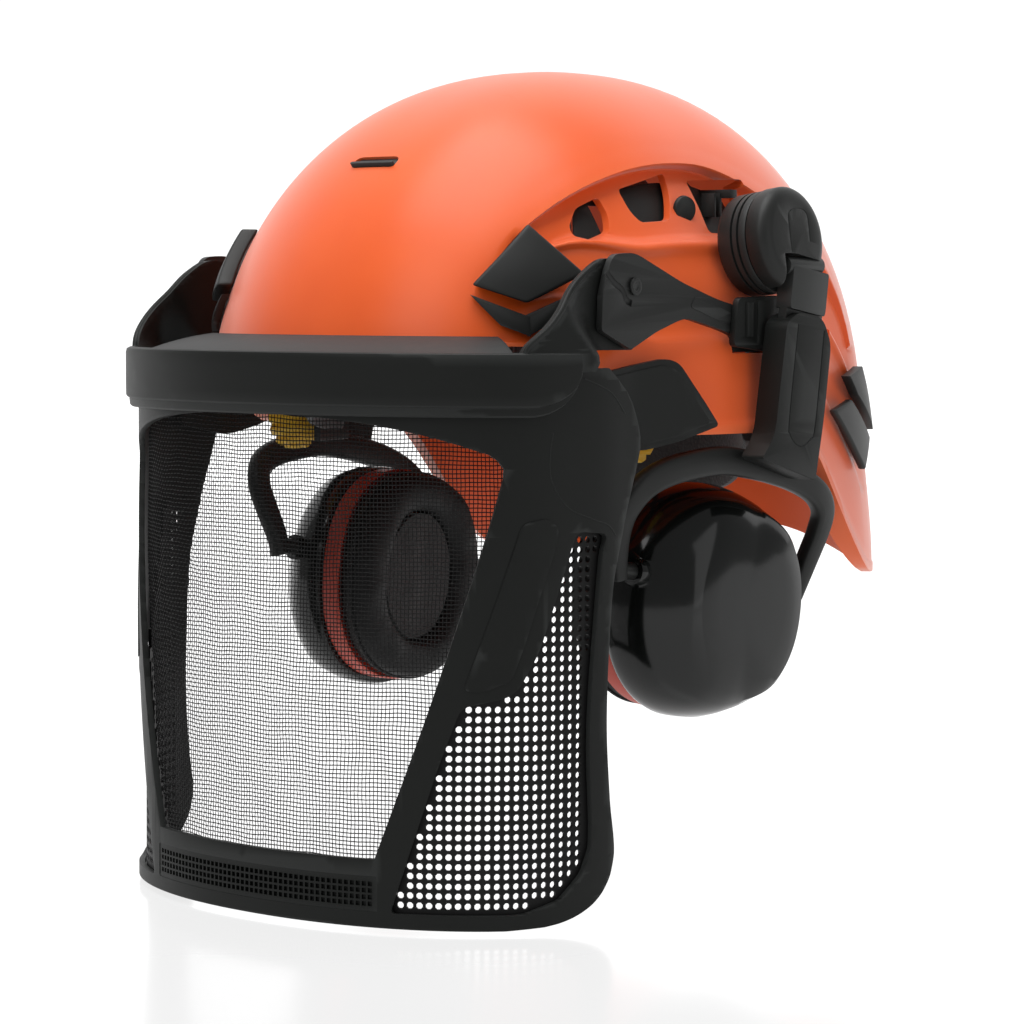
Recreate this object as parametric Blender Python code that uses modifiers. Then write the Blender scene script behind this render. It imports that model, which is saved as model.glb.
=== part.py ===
"""Forestry helmet: vented climbing shell, hinged mesh visor and swinging ear muffs.

Drawn in millimetres and scaled to metres when each object is made. +X is the wearer's left,
-Y is the front and +Z is up. The origin is the centre of the head opening at brow height.
"""

import math

import bmesh
import bpy
from mathutils import Matrix, Vector

MM = 0.001
GAP = 0.3

# Shell
SHELL_HALF_WIDTH = 118.0
SHELL_FRONT = 162.0
SHELL_REAR = 142.0
WIDEST_Y = 21.0
SHELL_TOP = 138.0
SHELL_EQUATOR = -25.0
PLAN_POWER = 2.55
SIDE_POWER = 2.2
SHELL_WALL = 2.6
FRONT_RIM_Z = 20.0
SIDE_RIM_Z = -16.0
NAPE_RIM_Z = -81.0
RECESS_DEPTH = 6.5
NAPE_FLARE = 5.0
NAPE_ARCH = 16.0

# Visor
VISOR_HALF_WIDTH = 120.0
VISOR_DEPTH = 87.0
VISOR_CENTRE_Y = -84.0
VISOR_POWER = 2.12
VISOR_BOTTOM = -207.0
VISOR_TOP = 12.0
FRAME_WALL = 2.5
BAND_BOTTOM = -7.0
BAND_TOP = 18.0
BAND_OUT = 5.0
TILT_PIN = Vector((0.0, -70.0, 44.0))
LIFT_PIN = Vector((0.0, 8.0, 30.0))
LINK_X = (112.6, 115.4)
BRACKET_X = (108.9, 111.9)
PIN_RADIUS = 2.9

# Ear muff, left side
HUB_FACE = Vector((129.7, 21.0, 65.0))
HUB_TILT = math.radians(8.0)
HUB_RADIUS = 22.0
HUB_DRUM_DEPTH = 16.0
HUB_STALK_RADIUS = 13.0
HUB_CAP_DEPTH = 10.5
SPREAD_AXIS = Vector((127.6, 27.5, 53.5))
KNUCKLE_RADIUS = 4.2
KNUCKLE_WIDTH = 31.0
ARM_LEAN = math.radians(8.4)
ARM_TOP = Vector((127.0, 28.0, 32.0))
BLADE_WIDTH = 26.0
BLADE_THICKNESS = 4.0
SLEEVE_WIDTH = 33.0
SLEEVE_THICKNESS = 11.0
SLEEVE_LENGTH = 61.0
CUP_Y = 3.0
CUP_Z = -87.0
CUP_HALF_WIDTH = 47.5
CUP_HALF_HEIGHT = 49.5
CUP_WALL = 2.5
CUP_PIVOT = Vector((99.0, CUP_Y, -79.0))
TOE_IN = math.radians(-4.0)
CUP_LEAN = math.radians(-8.4)
STUD_RADIUS = 3.0
YOKE_REACH = 60.0

# Suspension
BAND_HALF_WIDTH = 84.0
BAND_HALF_LENGTH = 107.0
BAND_CENTRE_Y = 7.0
BAND_WALL = 1.8
BAND_HEIGHT = 22.0
WHEEL = Vector((94.3, -45.0, -14.0))
WHEEL_RADIUS = 14.0
CROWN_Z = 108.0

for old in list(bpy.data.objects):
    bpy.data.objects.remove(old, do_unlink=True)

parts = bpy.data.collections.new("forestry_helmet")
cutters = bpy.data.collections.new("cutters")
cutters.hide_render = True
bpy.context.scene.collection.children.link(parts)
bpy.context.scene.collection.children.link(cutters)


# ---------------------------------------------------------------- materials


def new_material(name, colour, roughness, metallic=0.0):
    material = bpy.data.materials.new(name)
    material.use_nodes = True
    shader = material.node_tree.nodes["Principled BSDF"]
    shader.inputs["Base Color"].default_value = (*colour, 1.0)
    shader.inputs["Roughness"].default_value = roughness
    shader.inputs["Metallic"].default_value = metallic
    material.diffuse_color = (*colour, 1.0)
    return material


ORANGE = new_material("orange_shell", (0.85, 0.16, 0.03), 0.42)
BLACK = new_material("black_plastic", (0.022, 0.024, 0.024), 0.5)
GLOSS = new_material("gloss_cup", (0.015, 0.016, 0.017), 0.18)
RED = new_material("red_ring", (0.42, 0.035, 0.015), 0.45)
YELLOW = new_material("yellow_wheel", (0.8, 0.52, 0.02), 0.4)
FOAM = new_material("black_foam", (0.02, 0.02, 0.022), 0.9)
WEBBING = new_material("grey_webbing", (0.1, 0.1, 0.11), 0.85)
MESH = new_material("black_mesh", (0.02, 0.02, 0.02), 0.6)
STEEL = new_material("pin_steel", (0.55, 0.55, 0.56), 0.3, 1.0)


# ---------------------------------------------------------------- small helpers


def smooth(low, high, value):
    """0 below low, 1 above high, and an S curve between."""
    share = min(1.0, max(0.0, (value - low) / (high - low)))
    return share * share * (3.0 - 2.0 * share)


def blend(a, b, share):
    return a + (b - a) * share


def signed_power(value, power):
    return math.copysign(abs(value) ** power, value)


def track(stations, value):
    """Linear reading of a list of (position, value) stations."""
    for (p0, v0), (p1, v1) in zip(stations, stations[1:]):
        if value <= p1:
            return blend(v0, v1, max(0.0, (value - p0) / (p1 - p0)))
    return stations[-1][1]


def spaced(low, high, count):
    return [blend(low, high, i / count) for i in range(count + 1)]


def axis_empty(name, position):
    empty = bpy.data.objects.new(name, None)
    empty.location = Vector(position) * MM
    parts.objects.link(empty)
    return empty


def add_object(name, bm, material, pivot=None, collection=None):
    """An object from a mesh drawn in millimetres, with its origin on the pivot's axis."""
    bmesh.ops.recalc_face_normals(bm, faces=bm.faces)
    origin = pivot.location / MM if pivot else Vector((0.0, 0.0, 0.0))
    bmesh.ops.translate(bm, verts=bm.verts, vec=-origin)
    bmesh.ops.scale(bm, verts=bm.verts, vec=(MM, MM, MM))
    mesh = bpy.data.meshes.new(name)
    bm.to_mesh(mesh)
    bm.free()
    obj = bpy.data.objects.new(name, mesh)
    (collection or parts).objects.link(obj)
    if pivot:
        obj.parent = pivot
    if material:
        mesh.materials.append(material)
    mesh.shade_smooth()
    mesh.set_sharp_from_angle(angle=math.radians(35.0))
    return obj


def add_bevel(obj, width, segments=1, angle=50.0):
    bevel = obj.modifiers.new("rounded_edges", "BEVEL")
    bevel.width = width * MM
    bevel.segments = segments
    bevel.limit_method = "ANGLE"
    bevel.angle_limit = math.radians(angle)
    bevel.miter_outer = "MITER_SHARP"
    bevel.use_clamp_overlap = True
    return obj


def add_boolean(obj, cutter, operation="DIFFERENCE"):
    boolean = obj.modifiers.new(operation.lower(), "BOOLEAN")
    boolean.object = cutter
    boolean.operation = operation
    boolean.solver = "EXACT"
    return obj


def as_cutter(obj):
    obj.hide_render = True
    obj.display_type = "WIRE"
    return obj


def helper_object(name, bm):
    """A mesh that cuts or joins another piece and isn't a piece itself."""
    return as_cutter(add_object(name, bm, None, collection=cutters))


def mirrored(obj, name, pivot=None):
    """The same piece for the wearer's other side, with its own mesh."""
    graph = bpy.context.evaluated_depsgraph_get()
    graph.update()
    mesh = bpy.data.meshes.new_from_object(obj.evaluated_get(graph))
    bm = bmesh.new()
    bm.from_mesh(mesh)
    bpy.data.meshes.remove(mesh)
    bmesh.ops.transform(bm, matrix=obj.matrix_world, verts=bm.verts)
    bmesh.ops.scale(bm, verts=bm.verts, vec=(-1.0 / MM, 1.0 / MM, 1.0 / MM))
    bmesh.ops.reverse_faces(bm, faces=bm.faces)
    return add_object(name, bm, obj.data.materials[0], pivot)


def add_box(bm, low, high):
    low, high = Vector(low), Vector(high)
    size = high - low
    matrix = Matrix.Translation((low + high) / 2.0) @ Matrix.Diagonal((*size, 1.0))
    bmesh.ops.create_cube(bm, size=1.0, matrix=matrix)


def box(low, high):
    bm = bmesh.new()
    add_box(bm, low, high)
    return bm


def along(direction):
    """Rotation that takes +Z to the direction."""
    return Vector(direction).to_track_quat("Z", "Y").to_matrix().to_4x4()


def add_cylinder(bm, start, end, radius, sides=16, end_radius=None):
    start, end = Vector(start), Vector(end)
    span = end - start
    bmesh.ops.create_cone(
        bm,
        cap_ends=True,
        segments=sides,
        radius1=radius,
        radius2=radius if end_radius is None else end_radius,
        depth=span.length,
        matrix=Matrix.Translation((start + end) / 2.0) @ along(span),
    )


def cylinder(start, end, radius, sides=16, end_radius=None):
    bm = bmesh.new()
    add_cylinder(bm, start, end, radius, sides, end_radius)
    return bm


def solid_from_grids(outer, inner, keep=None, wrap=False, pole=False):
    """Closed solid between two grids of points. keep(i, j) says which cells hold material.

    wrap joins the last column to the first. pole welds the first row into one point.
    """
    bm = bmesh.new()
    columns = len(outer)
    rows = len(outer[0])
    cells = columns if wrap else columns - 1
    layers = [[[bm.verts.new(p) for p in column] for column in grid] for grid in (outer, inner)]
    kept = {
        (i, j)
        for i in range(cells)
        for j in range(rows - 1)
        if keep is None or keep(i, j)
    }
    sides = (
        ((0, -1), (0, 0), (1, 0)),
        ((0, 1), (1, 1), (0, 1)),
        ((-1, 0), (0, 1), (0, 0)),
        ((1, 0), (1, 0), (1, 1)),
    )
    for i, j in sorted(kept):
        corners = [(i, j), (i + 1, j), (i + 1, j + 1), (i, j + 1)]
        ids = [(a % columns, b) for a, b in corners]
        bm.faces.new([layers[0][a][b] for a, b in ids])
        bm.faces.new([layers[1][a][b] for a, b in reversed(ids)])
        for (di, dj), start, end in sides:
            if pole and j == 0 and dj == -1:
                continue
            beside = ((i + di) % columns if wrap else i + di, j + dj)
            if beside in kept:
                continue
            a = ((i + start[0]) % columns, j + start[1])
            b = ((i + end[0]) % columns, j + end[1])
            bm.faces.new([layers[k][c[0]][c[1]] for k, c in ((0, a), (1, a), (1, b), (0, b))])
    loose = [v for v in bm.verts if not v.link_faces]
    bmesh.ops.delete(bm, geom=loose, context="VERTS")
    bmesh.ops.remove_doubles(bm, verts=bm.verts, dist=1e-4)
    return bm


def loft(rings):
    """Closed solid through rings with the same number of points, capped at both ends."""
    bm = bmesh.new()
    loops = [[bm.verts.new(p) for p in ring] for ring in rings]
    count = len(loops[0])
    for low, high in zip(loops, loops[1:]):
        for k in range(count):
            bm.faces.new((low[k], low[(k + 1) % count], high[(k + 1) % count], high[k]))
    bm.faces.new(list(reversed(loops[0])))
    bm.faces.new(loops[-1])
    return bm


def plate(outlines, thickness, placement):
    """A flat plate from closed outlines, the first the rim and the rest holes, centred on its plane."""
    curve = bpy.data.curves.new("outline", "CURVE")
    curve.dimensions = "2D"
    curve.fill_mode = "BOTH"
    curve.extrude = thickness / 2.0
    for outline in outlines:
        spline = curve.splines.new("POLY")
        spline.points.add(len(outline) - 1)
        for point, (u, v) in zip(spline.points, outline):
            point.co = (u, v, 0.0, 1.0)
        spline.use_cyclic_u = True
    obj = bpy.data.objects.new("outline", curve)
    cutters.objects.link(obj)
    graph = bpy.context.evaluated_depsgraph_get()
    graph.update()
    mesh = bpy.data.meshes.new_from_object(obj.evaluated_get(graph))
    bpy.data.objects.remove(obj, do_unlink=True)
    bm = bmesh.new()
    bm.from_mesh(mesh)
    bpy.data.meshes.remove(mesh)
    bmesh.ops.remove_doubles(bm, verts=bm.verts, dist=1e-4)
    bmesh.ops.transform(bm, matrix=placement, verts=bm.verts)
    return bm


def facing_x(x):
    """Placement of a drawing in (Y, Z) on the plane at this X."""
    return Matrix(((0, 0, 1, x), (1, 0, 0, 0), (0, 1, 0, 0), (0, 0, 0, 1)))


def circle(centre, radius, sides=16):
    angles = [2.0 * math.pi * k / sides for k in range(sides)]
    return [(centre[0] + radius * math.cos(a), centre[1] + radius * math.sin(a)) for a in angles]


def oval(half_width, half_height, sides, power=2.4):
    """Superellipse round the origin, as (y, z)."""
    points = []
    for k in range(sides):
        angle = 2.0 * math.pi * (k + 0.5) / sides
        y = half_width * signed_power(math.cos(angle), 2.0 / power)
        z = half_height * signed_power(math.sin(angle), 2.0 / power)
        points.append((y, z))
    return points


def rounded(corners, radius, steps=3):
    """The outline with each corner turned into a short arc."""
    outline = []
    count = len(corners)
    for k, corner in enumerate(corners):
        here = Vector(corner)
        back = (Vector(corners[k - 1]) - here)
        forth = (Vector(corners[(k + 1) % count]) - here)
        reach = min(radius, back.length * 0.45, forth.length * 0.45)
        start = here + back.normalized() * reach
        end = here + forth.normalized() * reach
        for s in range(steps + 1):
            t = s / steps
            point = start * (1 - t) ** 2 + here * 2 * t * (1 - t) + end * t ** 2
            outline.append((point.x, point.y))
    return outline


# ---------------------------------------------------------------- shell


def plan_direction(azimuth):
    """Unit superellipse point seen at this azimuth, in degrees from the front."""
    angle = math.radians(azimuth)
    length = SHELL_FRONT if math.cos(angle) >= 0.0 else SHELL_REAR
    x = math.sin(angle) / SHELL_HALF_WIDTH
    y = math.cos(angle) / length
    reach = (abs(x) ** PLAN_POWER + abs(y) ** PLAN_POWER) ** (-1.0 / PLAN_POWER)
    return x * reach, -y * reach


def dome(azimuth, z, out=0.0):
    """Point of the plain dome at an azimuth and height, pushed outwards by out."""
    x, y = plan_direction(azimuth)
    rise = max(0.0, (z - SHELL_EQUATOR) / (SHELL_TOP + out - SHELL_EQUATOR))
    width = max(0.0, 1.0 - rise ** SIDE_POWER) ** (1.0 / SIDE_POWER)
    length = SHELL_FRONT if y <= 0.0 else SHELL_REAR
    return Vector(
        (
            x * (SHELL_HALF_WIDTH + out) * width,
            WIDEST_Y + y * (length + out) * width,
            z,
        )
    )


def rim_height(azimuth):
    """Lower edge of the shell: brow, side and nape."""
    side = blend(FRONT_RIM_Z, SIDE_RIM_Z, smooth(38.0, 60.0, azimuth))
    ear = blend(side, NAPE_RIM_Z, smooth(98.0, 132.0, azimuth))
    return ear + NAPE_ARCH * smooth(142.0, 178.0, azimuth)


def arch_height(azimuth):
    """Upper edge of the side recess that holds the vents."""
    half = 52.0 if azimuth < 79.0 else 49.0
    power = 2.5 if azimuth < 79.0 else 2.0
    across = min(1.0, abs(azimuth - 79.0) / half)
    height = 20.0 + 76.0 * (1.0 - across ** power) ** (1.0 / power)
    return max(height, rim_height(azimuth) + 9.0)


def recess_depth(azimuth):
    return RECESS_DEPTH * smooth(29.0, 42.0, azimuth) * smooth(134.0, 116.0, azimuth)


def nape_flare(azimuth, z):
    """How far the lower rear of the shell turns outwards."""
    return NAPE_FLARE * smooth(104.0, 135.0, azimuth) * smooth(-5.0, -80.0, z)


# Share of the way from the arch down to the rim, and share of the recess depth there
RECESS_PROFILE = (
    (0.0, 0.0),
    (0.025, 1.0),
    (0.27, 1.0),
    (0.30, 0.45),
    (0.345, 0.72),
    (0.63, 0.66),
    (0.68, 0.25),
    (0.84, 0.2),
    (1.0, 0.1),
)


def shell_column(azimuth, inset):
    """Points of one meridian from the crown to the rim, inset from the outer face."""
    side = abs(azimuth) if abs(azimuth) <= 180.0 else 360.0 - abs(azimuth)
    arch = arch_height(side)
    rim = rim_height(side)
    share_at_arch = ((arch - SHELL_EQUATOR) / (SHELL_TOP - SHELL_EQUATOR)) ** (SIDE_POWER / 2.0)
    arch_angle = math.acos(min(1.0, share_at_arch))
    column = []
    steps = 6
    for k in range(steps):
        angle = arch_angle * (k / steps)
        lift = math.cos(angle) ** (2.0 / SIDE_POWER)
        z = SHELL_EQUATOR + (SHELL_TOP - inset - SHELL_EQUATOR) * lift
        column.append(dome(azimuth, z, -inset))
    for share, depth in RECESS_PROFILE:
        z = blend(arch, rim, share)
        back = recess_depth(side) * (1.0 if inset else depth)
        column.append(dome(azimuth, z, nape_flare(side, z) - back - inset))
    return column


SHELL_AZIMUTHS = (0, 9, 18, 26, 33, 40, 46, 52, 58, 65, 72, 80, 88, 96, 103, 110, 117, 124, 132, 142, 154, 167)
VENTS = (
    ((-67, 70), (-57, 76.5), (-52, 74), (-51, 68), (-60, 62.5)),
    ((-34, 85), (-6, 88), (-13, 71.5), (-32, 70.5)),
    ((8, 86.5), (42, 86.5), (33, 67), (11, 67)),
    ((50, 82), (64, 73), (58, 62), (49, 64)),
    ((76, 46), (84, 42), (80, 22), (75, 22)),
)
PLUG_CENTRE = (-4.0, 76.0)
SLOT_HALF_WIDTH = 12.0
SLOT_CENTRE = Vector((0.0, -97.0, 96.0))
SLOT_SLOPE = Vector((0.0, -0.62, 0.78))


def slot_outline(half_width, half_height):
    return rounded(
        ((-half_width, -half_height), (half_width, -half_height), (half_width, half_height), (-half_width, half_height)),
        half_height * 0.9,
        2,
    )


def make_shell():
    full = [float(a) for a in SHELL_AZIMUTHS] + [180.0]
    full += [360.0 - a for a in reversed(SHELL_AZIMUTHS[1:])]
    outer = [shell_column(a, 0.0) for a in full]
    inner = [shell_column(a, SHELL_WALL) for a in full]
    shell = add_object("shell", solid_from_grids(outer, inner, wrap=True, pole=True), ORANGE)
    for side, label in ((1, "left"), (-1, "right")):
        for number, vent in enumerate(VENTS, 1):
            bm = plate([rounded(vent, 3.0, 1)], 60.0, facing_x(side * 96.0))
            add_boolean(shell, helper_object(f"cut_vent_{number}_{label}", bm))
        start = (side * 70.0, PLUG_CENTRE[0], PLUG_CENTRE[1] - 6.0)
        end = (side * 105.0, PLUG_CENTRE[0], PLUG_CENTRE[1] + 3.0)
        add_boolean(shell, helper_object(f"cut_plug_{label}", cylinder(start, end, 3.4, 12)))
        low = (min(side * 100.0, side * 125.0), -1.0, 17.0)
        high = (max(side * 100.0, side * 125.0), 21.0, 33.0)
        add_boolean(shell, helper_object(f"cut_adaptor_slot_{label}", box(low, high)))
    matrix = Matrix.Translation(SLOT_CENTRE) @ along(SLOT_SLOPE)
    slot = plate([slot_outline(SLOT_HALF_WIDTH, 3.2)], 16.0, matrix)
    add_boolean(shell, helper_object("cut_front_slot", slot))
    return shell


def make_front_insert():
    """Dark louvre that fills the slot above the brow."""
    centre = SLOT_CENTRE - SLOT_SLOPE * 1.6
    matrix = Matrix.Translation(centre) @ along(SLOT_SLOPE)
    bm = plate([slot_outline(SLOT_HALF_WIDTH - GAP, 3.2 - GAP)], 5.0, matrix)
    return add_object("front_vent_insert", bm, BLACK)


def make_side_plug():
    """Round plug that holds a cradle strap through the shell wall."""
    side = Vector((0.96, -0.06, 0.26)).normalized()
    seat = Vector((89.6, PLUG_CENTRE[0], PLUG_CENTRE[1])) + side * 2.6
    bm = cylinder(seat, seat + side * 2.4, 5.0, 16, 4.2)
    return add_object("side_plug_left", bm, BLACK)


SHUTTER_TRAVEL = 12.0


def make_shutter():
    """Curved slide behind the vents, with a finger tab in the largest one."""
    azimuths = spaced(44.0, 99.0, 14)
    grids = []
    for out in (-(RECESS_DEPTH + SHELL_WALL + 1.7), -(RECESS_DEPTH + SHELL_WALL + 3.3)):
        grid = []
        for azimuth in azimuths:
            top = arch_height(azimuth) - 8.0
            bottom = blend(arch_height(azimuth), rim_height(azimuth), 0.30) - 1.0
            grid.append([dome(azimuth, z, out) for z in spaced(top, bottom, 2)])
        grids.append(grid)
    bm = solid_from_grids(*grids)
    shutter = add_object("vent_shutter_left", bm, BLACK, vent_axis)
    tab = helper_object("join_shutter_tab", box((78.0, 23.5, 82.0), (95.5, 28.5, 85.5)))
    add_boolean(shutter, tab, "UNION")
    for number, y in enumerate((-44.0, -2.0), 1):
        window = helper_object(f"cut_shutter_window_{number}", box((60.0, y - 5.0, 66.0), (110.0, y + 5.0, 77.0)))
        add_boolean(shutter, window)
    return shutter


def dome_patch(corners, near, far, cells=4):
    """Pad that follows the dome between four (azimuth, height) corners, given in order round it."""
    grids = []
    for out in (far, near):
        grid = []
        for i in range(cells + 1):
            s = i / cells
            top = [blend(corners[0][k], corners[1][k], s) for k in (0, 1)]
            low = [blend(corners[3][k], corners[2][k], s) for k in (0, 1)]
            column = []
            for j in range(cells + 1):
                t = j / cells
                azimuth, z = blend(top[0], low[0], t), blend(top[1], low[1], t)
                column.append(dome(azimuth, z, out + nape_flare(azimuth, z)))
            grid.append(column)
        grids.append(grid)
    return solid_from_grids(*grids)


def make_lamp_clips():
    """Hooks that hold a headlamp strap: each is a lozenge hook on a chevron base."""
    front_hook = add_object(
        "front_clip_hook_left",
        dome_patch(((34.5, 68.5), (43.8, 49.0), (35.0, 37.3), (26.8, 44.2)), 0.6, 6.0),
        BLACK,
    )
    add_bevel(front_hook, 1.4)
    front_base = add_object(
        "front_clip_base_left",
        dome_patch(((26.8, 41.0), (34.8, 33.6), (35.6, 28.5), (27.6, 37.0)), 0.6, 4.2, 3),
        BLACK,
    )
    rear_hook = add_object(
        "rear_clip_hook_left",
        dome_patch(((118.2, 6.5), (126.5, 10.5), (134.5, -18.0), (121.8, -1.5)), 0.8, 5.0, 3),
        BLACK,
    )
    add_bevel(rear_hook, 1.2)
    rear_base = add_object(
        "rear_clip_base_left",
        dome_patch(((111.0, -8.0), (119.4, -3.5), (131.5, -21.0), (125.5, -35.0)), 0.8, 4.0, 3),
        BLACK,
    )
    return front_hook, front_base, rear_hook, rear_base


# ---------------------------------------------------------------- visor


def visor_point(u, z, out=0.0):
    """Point of the visor wall. u is in degrees from the front, and runs straight back past 90."""
    turn = math.radians(max(-90.0, min(90.0, u)))
    x = (VISOR_HALF_WIDTH + out) * signed_power(math.sin(turn), 2.0 / VISOR_POWER)
    y = -(VISOR_DEPTH + out) * abs(math.cos(turn)) ** (2.0 / VISOR_POWER)
    straight = max(0.0, abs(u) - 90.0) * math.radians(VISOR_DEPTH)
    return Vector((x, VISOR_CENTRE_Y + y + straight, z))


def window_top(u):
    """Lower edge of the brow strip, which arches down to the sides."""
    return -9.0 - 15.0 * (min(abs(u), 60.0) / 55.0) ** 2.6


# Each edge of the frame, as (height, u) stations from the bottom up
REAR_EDGE = ((-207.0, 64.0), (-203.0, 73.0), (-197.0, 80.0), (-188.0, 87.0), (-174.0, 91.0), (-135.0, 88.0),
             (-80.0, 89.5), (-56.0, 91.5), (-40.0, 93.5), (-21.0, 99.0), (-2.0, 95.0), (12.0, 86.0))
PANEL_REAR = ((-201.0, 62.0), (-196.0, 72.0), (-188.0, 80.0), (-174.0, 86.0), (-135.0, 84.0), (-80.0, 85.0), (-52.0, 85.0))
PANEL_FRONT = ((-201.0, 34.5), (-157.0, 42.5), (-121.0, 50.0), (-114.0, 66.0), (-86.0, 71.0), (-52.0, 75.5))
SCREEN_EDGE = ((-181.0, 30.5), (-133.0, 42.0), (-92.0, 51.0), (-60.0, 56.0), (-40.0, 58.0), (-24.0, 57.0), (12.0, 54.0))
FRAME_ROWS = (12.0, -24.0, -40.0, -52.0, -80.0, -114.0, -121.0, -157.0, -174.0, -181.0, -188.0, -196.0, -201.0, -207.0)
SCREEN_COLUMNS = 7


def frame_edges(z):
    """u of the screen edge, the panel's front edge, its rear edge and the frame's rear edge."""
    screen = track(SCREEN_EDGE, z)
    front = track(PANEL_FRONT, z)
    rear = track(PANEL_REAR, z)
    return screen, front, rear, track(REAR_EDGE, z)


def make_visor_frame():
    """Wall with three windows: the front screen and a perforated panel at each side."""
    half = []
    for z in FRAME_ROWS:
        screen, front, rear, edge = frame_edges(z)
        row = [screen * k / SCREEN_COLUMNS for k in range(SCREEN_COLUMNS + 1)]
        row += [blend(screen, front, 0.5), front, blend(front, rear, 0.5), rear, edge]
        half.append(row)
    columns = [(-1, k) for k in range(len(half[0]) - 1, 0, -1)] + [(1, k) for k in range(len(half[0]))]

    def point(side, k, row, out):
        u = side * half[row][k]
        z = FRAME_ROWS[row]
        if row == 1 and k <= SCREEN_COLUMNS:
            z = window_top(u)
        return visor_point(u, z, out)

    grids = [
        [[point(side, k, row, out) for row in range(len(FRAME_ROWS))] for side, k in columns]
        for out in (0.0, -FRAME_WALL)
    ]
    middle = len(half[0]) - 1
    first_panel_row = FRAME_ROWS.index(-52.0)
    last_panel_row = FRAME_ROWS.index(-201.0)
    last_screen_row = FRAME_ROWS.index(-181.0)

    def keep(i, j):
        cell = i - middle if i >= middle else middle - 1 - i
        in_screen = cell < SCREEN_COLUMNS and 1 <= j < last_screen_row
        in_panel = SCREEN_COLUMNS + 2 <= cell < SCREEN_COLUMNS + 4 and first_panel_row <= j < last_panel_row
        return not in_screen and not in_panel

    return add_object("visor_frame", solid_from_grids(*grids, keep=keep), BLACK, tilt_axis)


def make_mesh_screen():
    """Woven screen, as a thin sheet clamped behind the frame."""
    near = -FRAME_WALL - 3.0 * GAP
    rows = (-3.0, -24.0, -60.0, -92.0, -133.0, -181.0, -185.0)
    grids = []
    for out in (near, near - 0.8):
        grid = []
        for k in range(-8, 9):
            column = []
            for z in rows:
                edge = track(SCREEN_EDGE, z) + 2.6
                column.append(visor_point(edge * k / 8, z, out))
            grid.append(column)
        grids.append(grid)
    return add_object("mesh_screen", solid_from_grids(*grids), MESH, tilt_axis)


def make_side_panel():
    """Perforated panel beside the screen, as a plain sheet behind the frame."""
    near = -FRAME_WALL - 6.0 * GAP
    rows = (-49.0, -80.0, -109.0, -116.0, -122.5, -157.0, -186.0, -195.0, -202.0)
    grids = []
    for out in (near, near - 1.4):
        grid = []
        for k in range(9):
            column = []
            for z in rows:
                screen, front, rear, _ = frame_edges(z)
                low = max(front - 3.0, screen + 4.2)
                column.append(visor_point(blend(low, rear + 2.5, k / 8), z, out))
            grid.append(column)
        grids.append(grid)
    return add_object("side_panel_left", solid_from_grids(*grids), MESH, tilt_axis)


BRACKET = ((-124.0, 12.7), (-98.0, 46.0), (-85.0, 53.5), (-72.0, 53.5), (-62.0, 48.0), (-60.0, 37.0), (-78.0, 28.0), (-99.0, 12.7))


def make_brow_band():
    """Band across the brow with a hinge bracket at each end."""
    columns = [82.0 * k / 10 for k in range(-10, 11)]
    grids = []
    for out in (BAND_OUT, 2.0 * GAP):
        grid = []
        for u in columns:
            inset = 7.0 * smooth(72.0, 82.0, abs(u))
            heights = (BAND_TOP, BAND_TOP - 4.0, BAND_BOTTOM + 6.0, BAND_BOTTOM + inset)
            grid.append([visor_point(u, z, out) for z in heights])
        grids.append(grid)
    band = add_object("brow_band", solid_from_grids(*grids), BLACK, tilt_axis)
    for side, label in ((1, "left"), (-1, "right")):
        middle = side * sum(BRACKET_X) / 2.0
        hole = circle((TILT_PIN.y, TILT_PIN.z), PIN_RADIUS + (GAP if side > 0 else 0.7), 14)
        arm = plate([rounded(BRACKET, 4.0, 2), hole], BRACKET_X[1] - BRACKET_X[0], facing_x(middle))
        add_boolean(band, helper_object(f"join_bracket_{label}", arm), "UNION")
        low = (min(side * 109.4, side * 120.5), -118.0, 12.7)
        high = (max(side * 109.4, side * 120.5), -96.0, 17.6)
        add_boolean(band, helper_object(f"join_foot_{label}", box(low, high)), "UNION")
    return band


def make_brim_seal():
    """Shelf that closes the gap between the band and the shell."""
    grids = []
    for drop in (0.0, -2.4):
        grid = []
        for k in range(-11, 12):
            u = 60.0 * k / 11
            outer = visor_point(u, 15.6 + drop, -0.6)
            inner = dome(31.0 * k / 11, 24.0 + drop, 4.4)
            grid.append([outer.lerp(inner, s) for s in (0.0, 0.5, 1.0)])
        grids.append(grid)
    return add_object("brim_seal", solid_from_grids(*grids), FOAM, tilt_axis)


def wing_x(y):
    return track(((-102.0, 112.3), (-70.0, 113.4), (-26.0, 120.3)), y)


def make_temple_wing():
    """Shield behind the frame that covers the temple."""
    top = ((-100.0, 5.5), (-76.0, 10.0), (-50.0, 14.5), (-38.0, 2.0), (-26.0, -12.0))
    low = ((-96.0, -16.0), (-82.0, -19.5), (-63.0, -21.5), (-45.0, -18.5), (-29.0, -15.0))
    grids = []
    for out in (3.2, 0.0):
        grid = []
        for (y0, z0), (y1, z1) in zip(top, low):
            column = []
            for s in (0.0, 0.33, 0.67, 1.0):
                y = blend(y0, y1, s)
                column.append(Vector((wing_x(y) + out, y, blend(z0, z1, s))))
            grid.append(column)
        grids.append(grid)
    return add_object("temple_wing_left", solid_from_grids(*grids), BLACK, tilt_axis)


LINK = ((-68.0, 57.5), (-83.0, 56.0), (-89.5, 41.0), (-90.0, 27.0), (-71.5, 19.5), (-55.0, 26.0), (-36.0, 31.5), (-6.0, 25.0),
        (2.0, 22.5), (13.5, 23.5), (15.0, 30.0), (10.0, 36.4), (0.0, 36.4), (-15.0, 39.0), (-38.0, 45.5))


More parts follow.
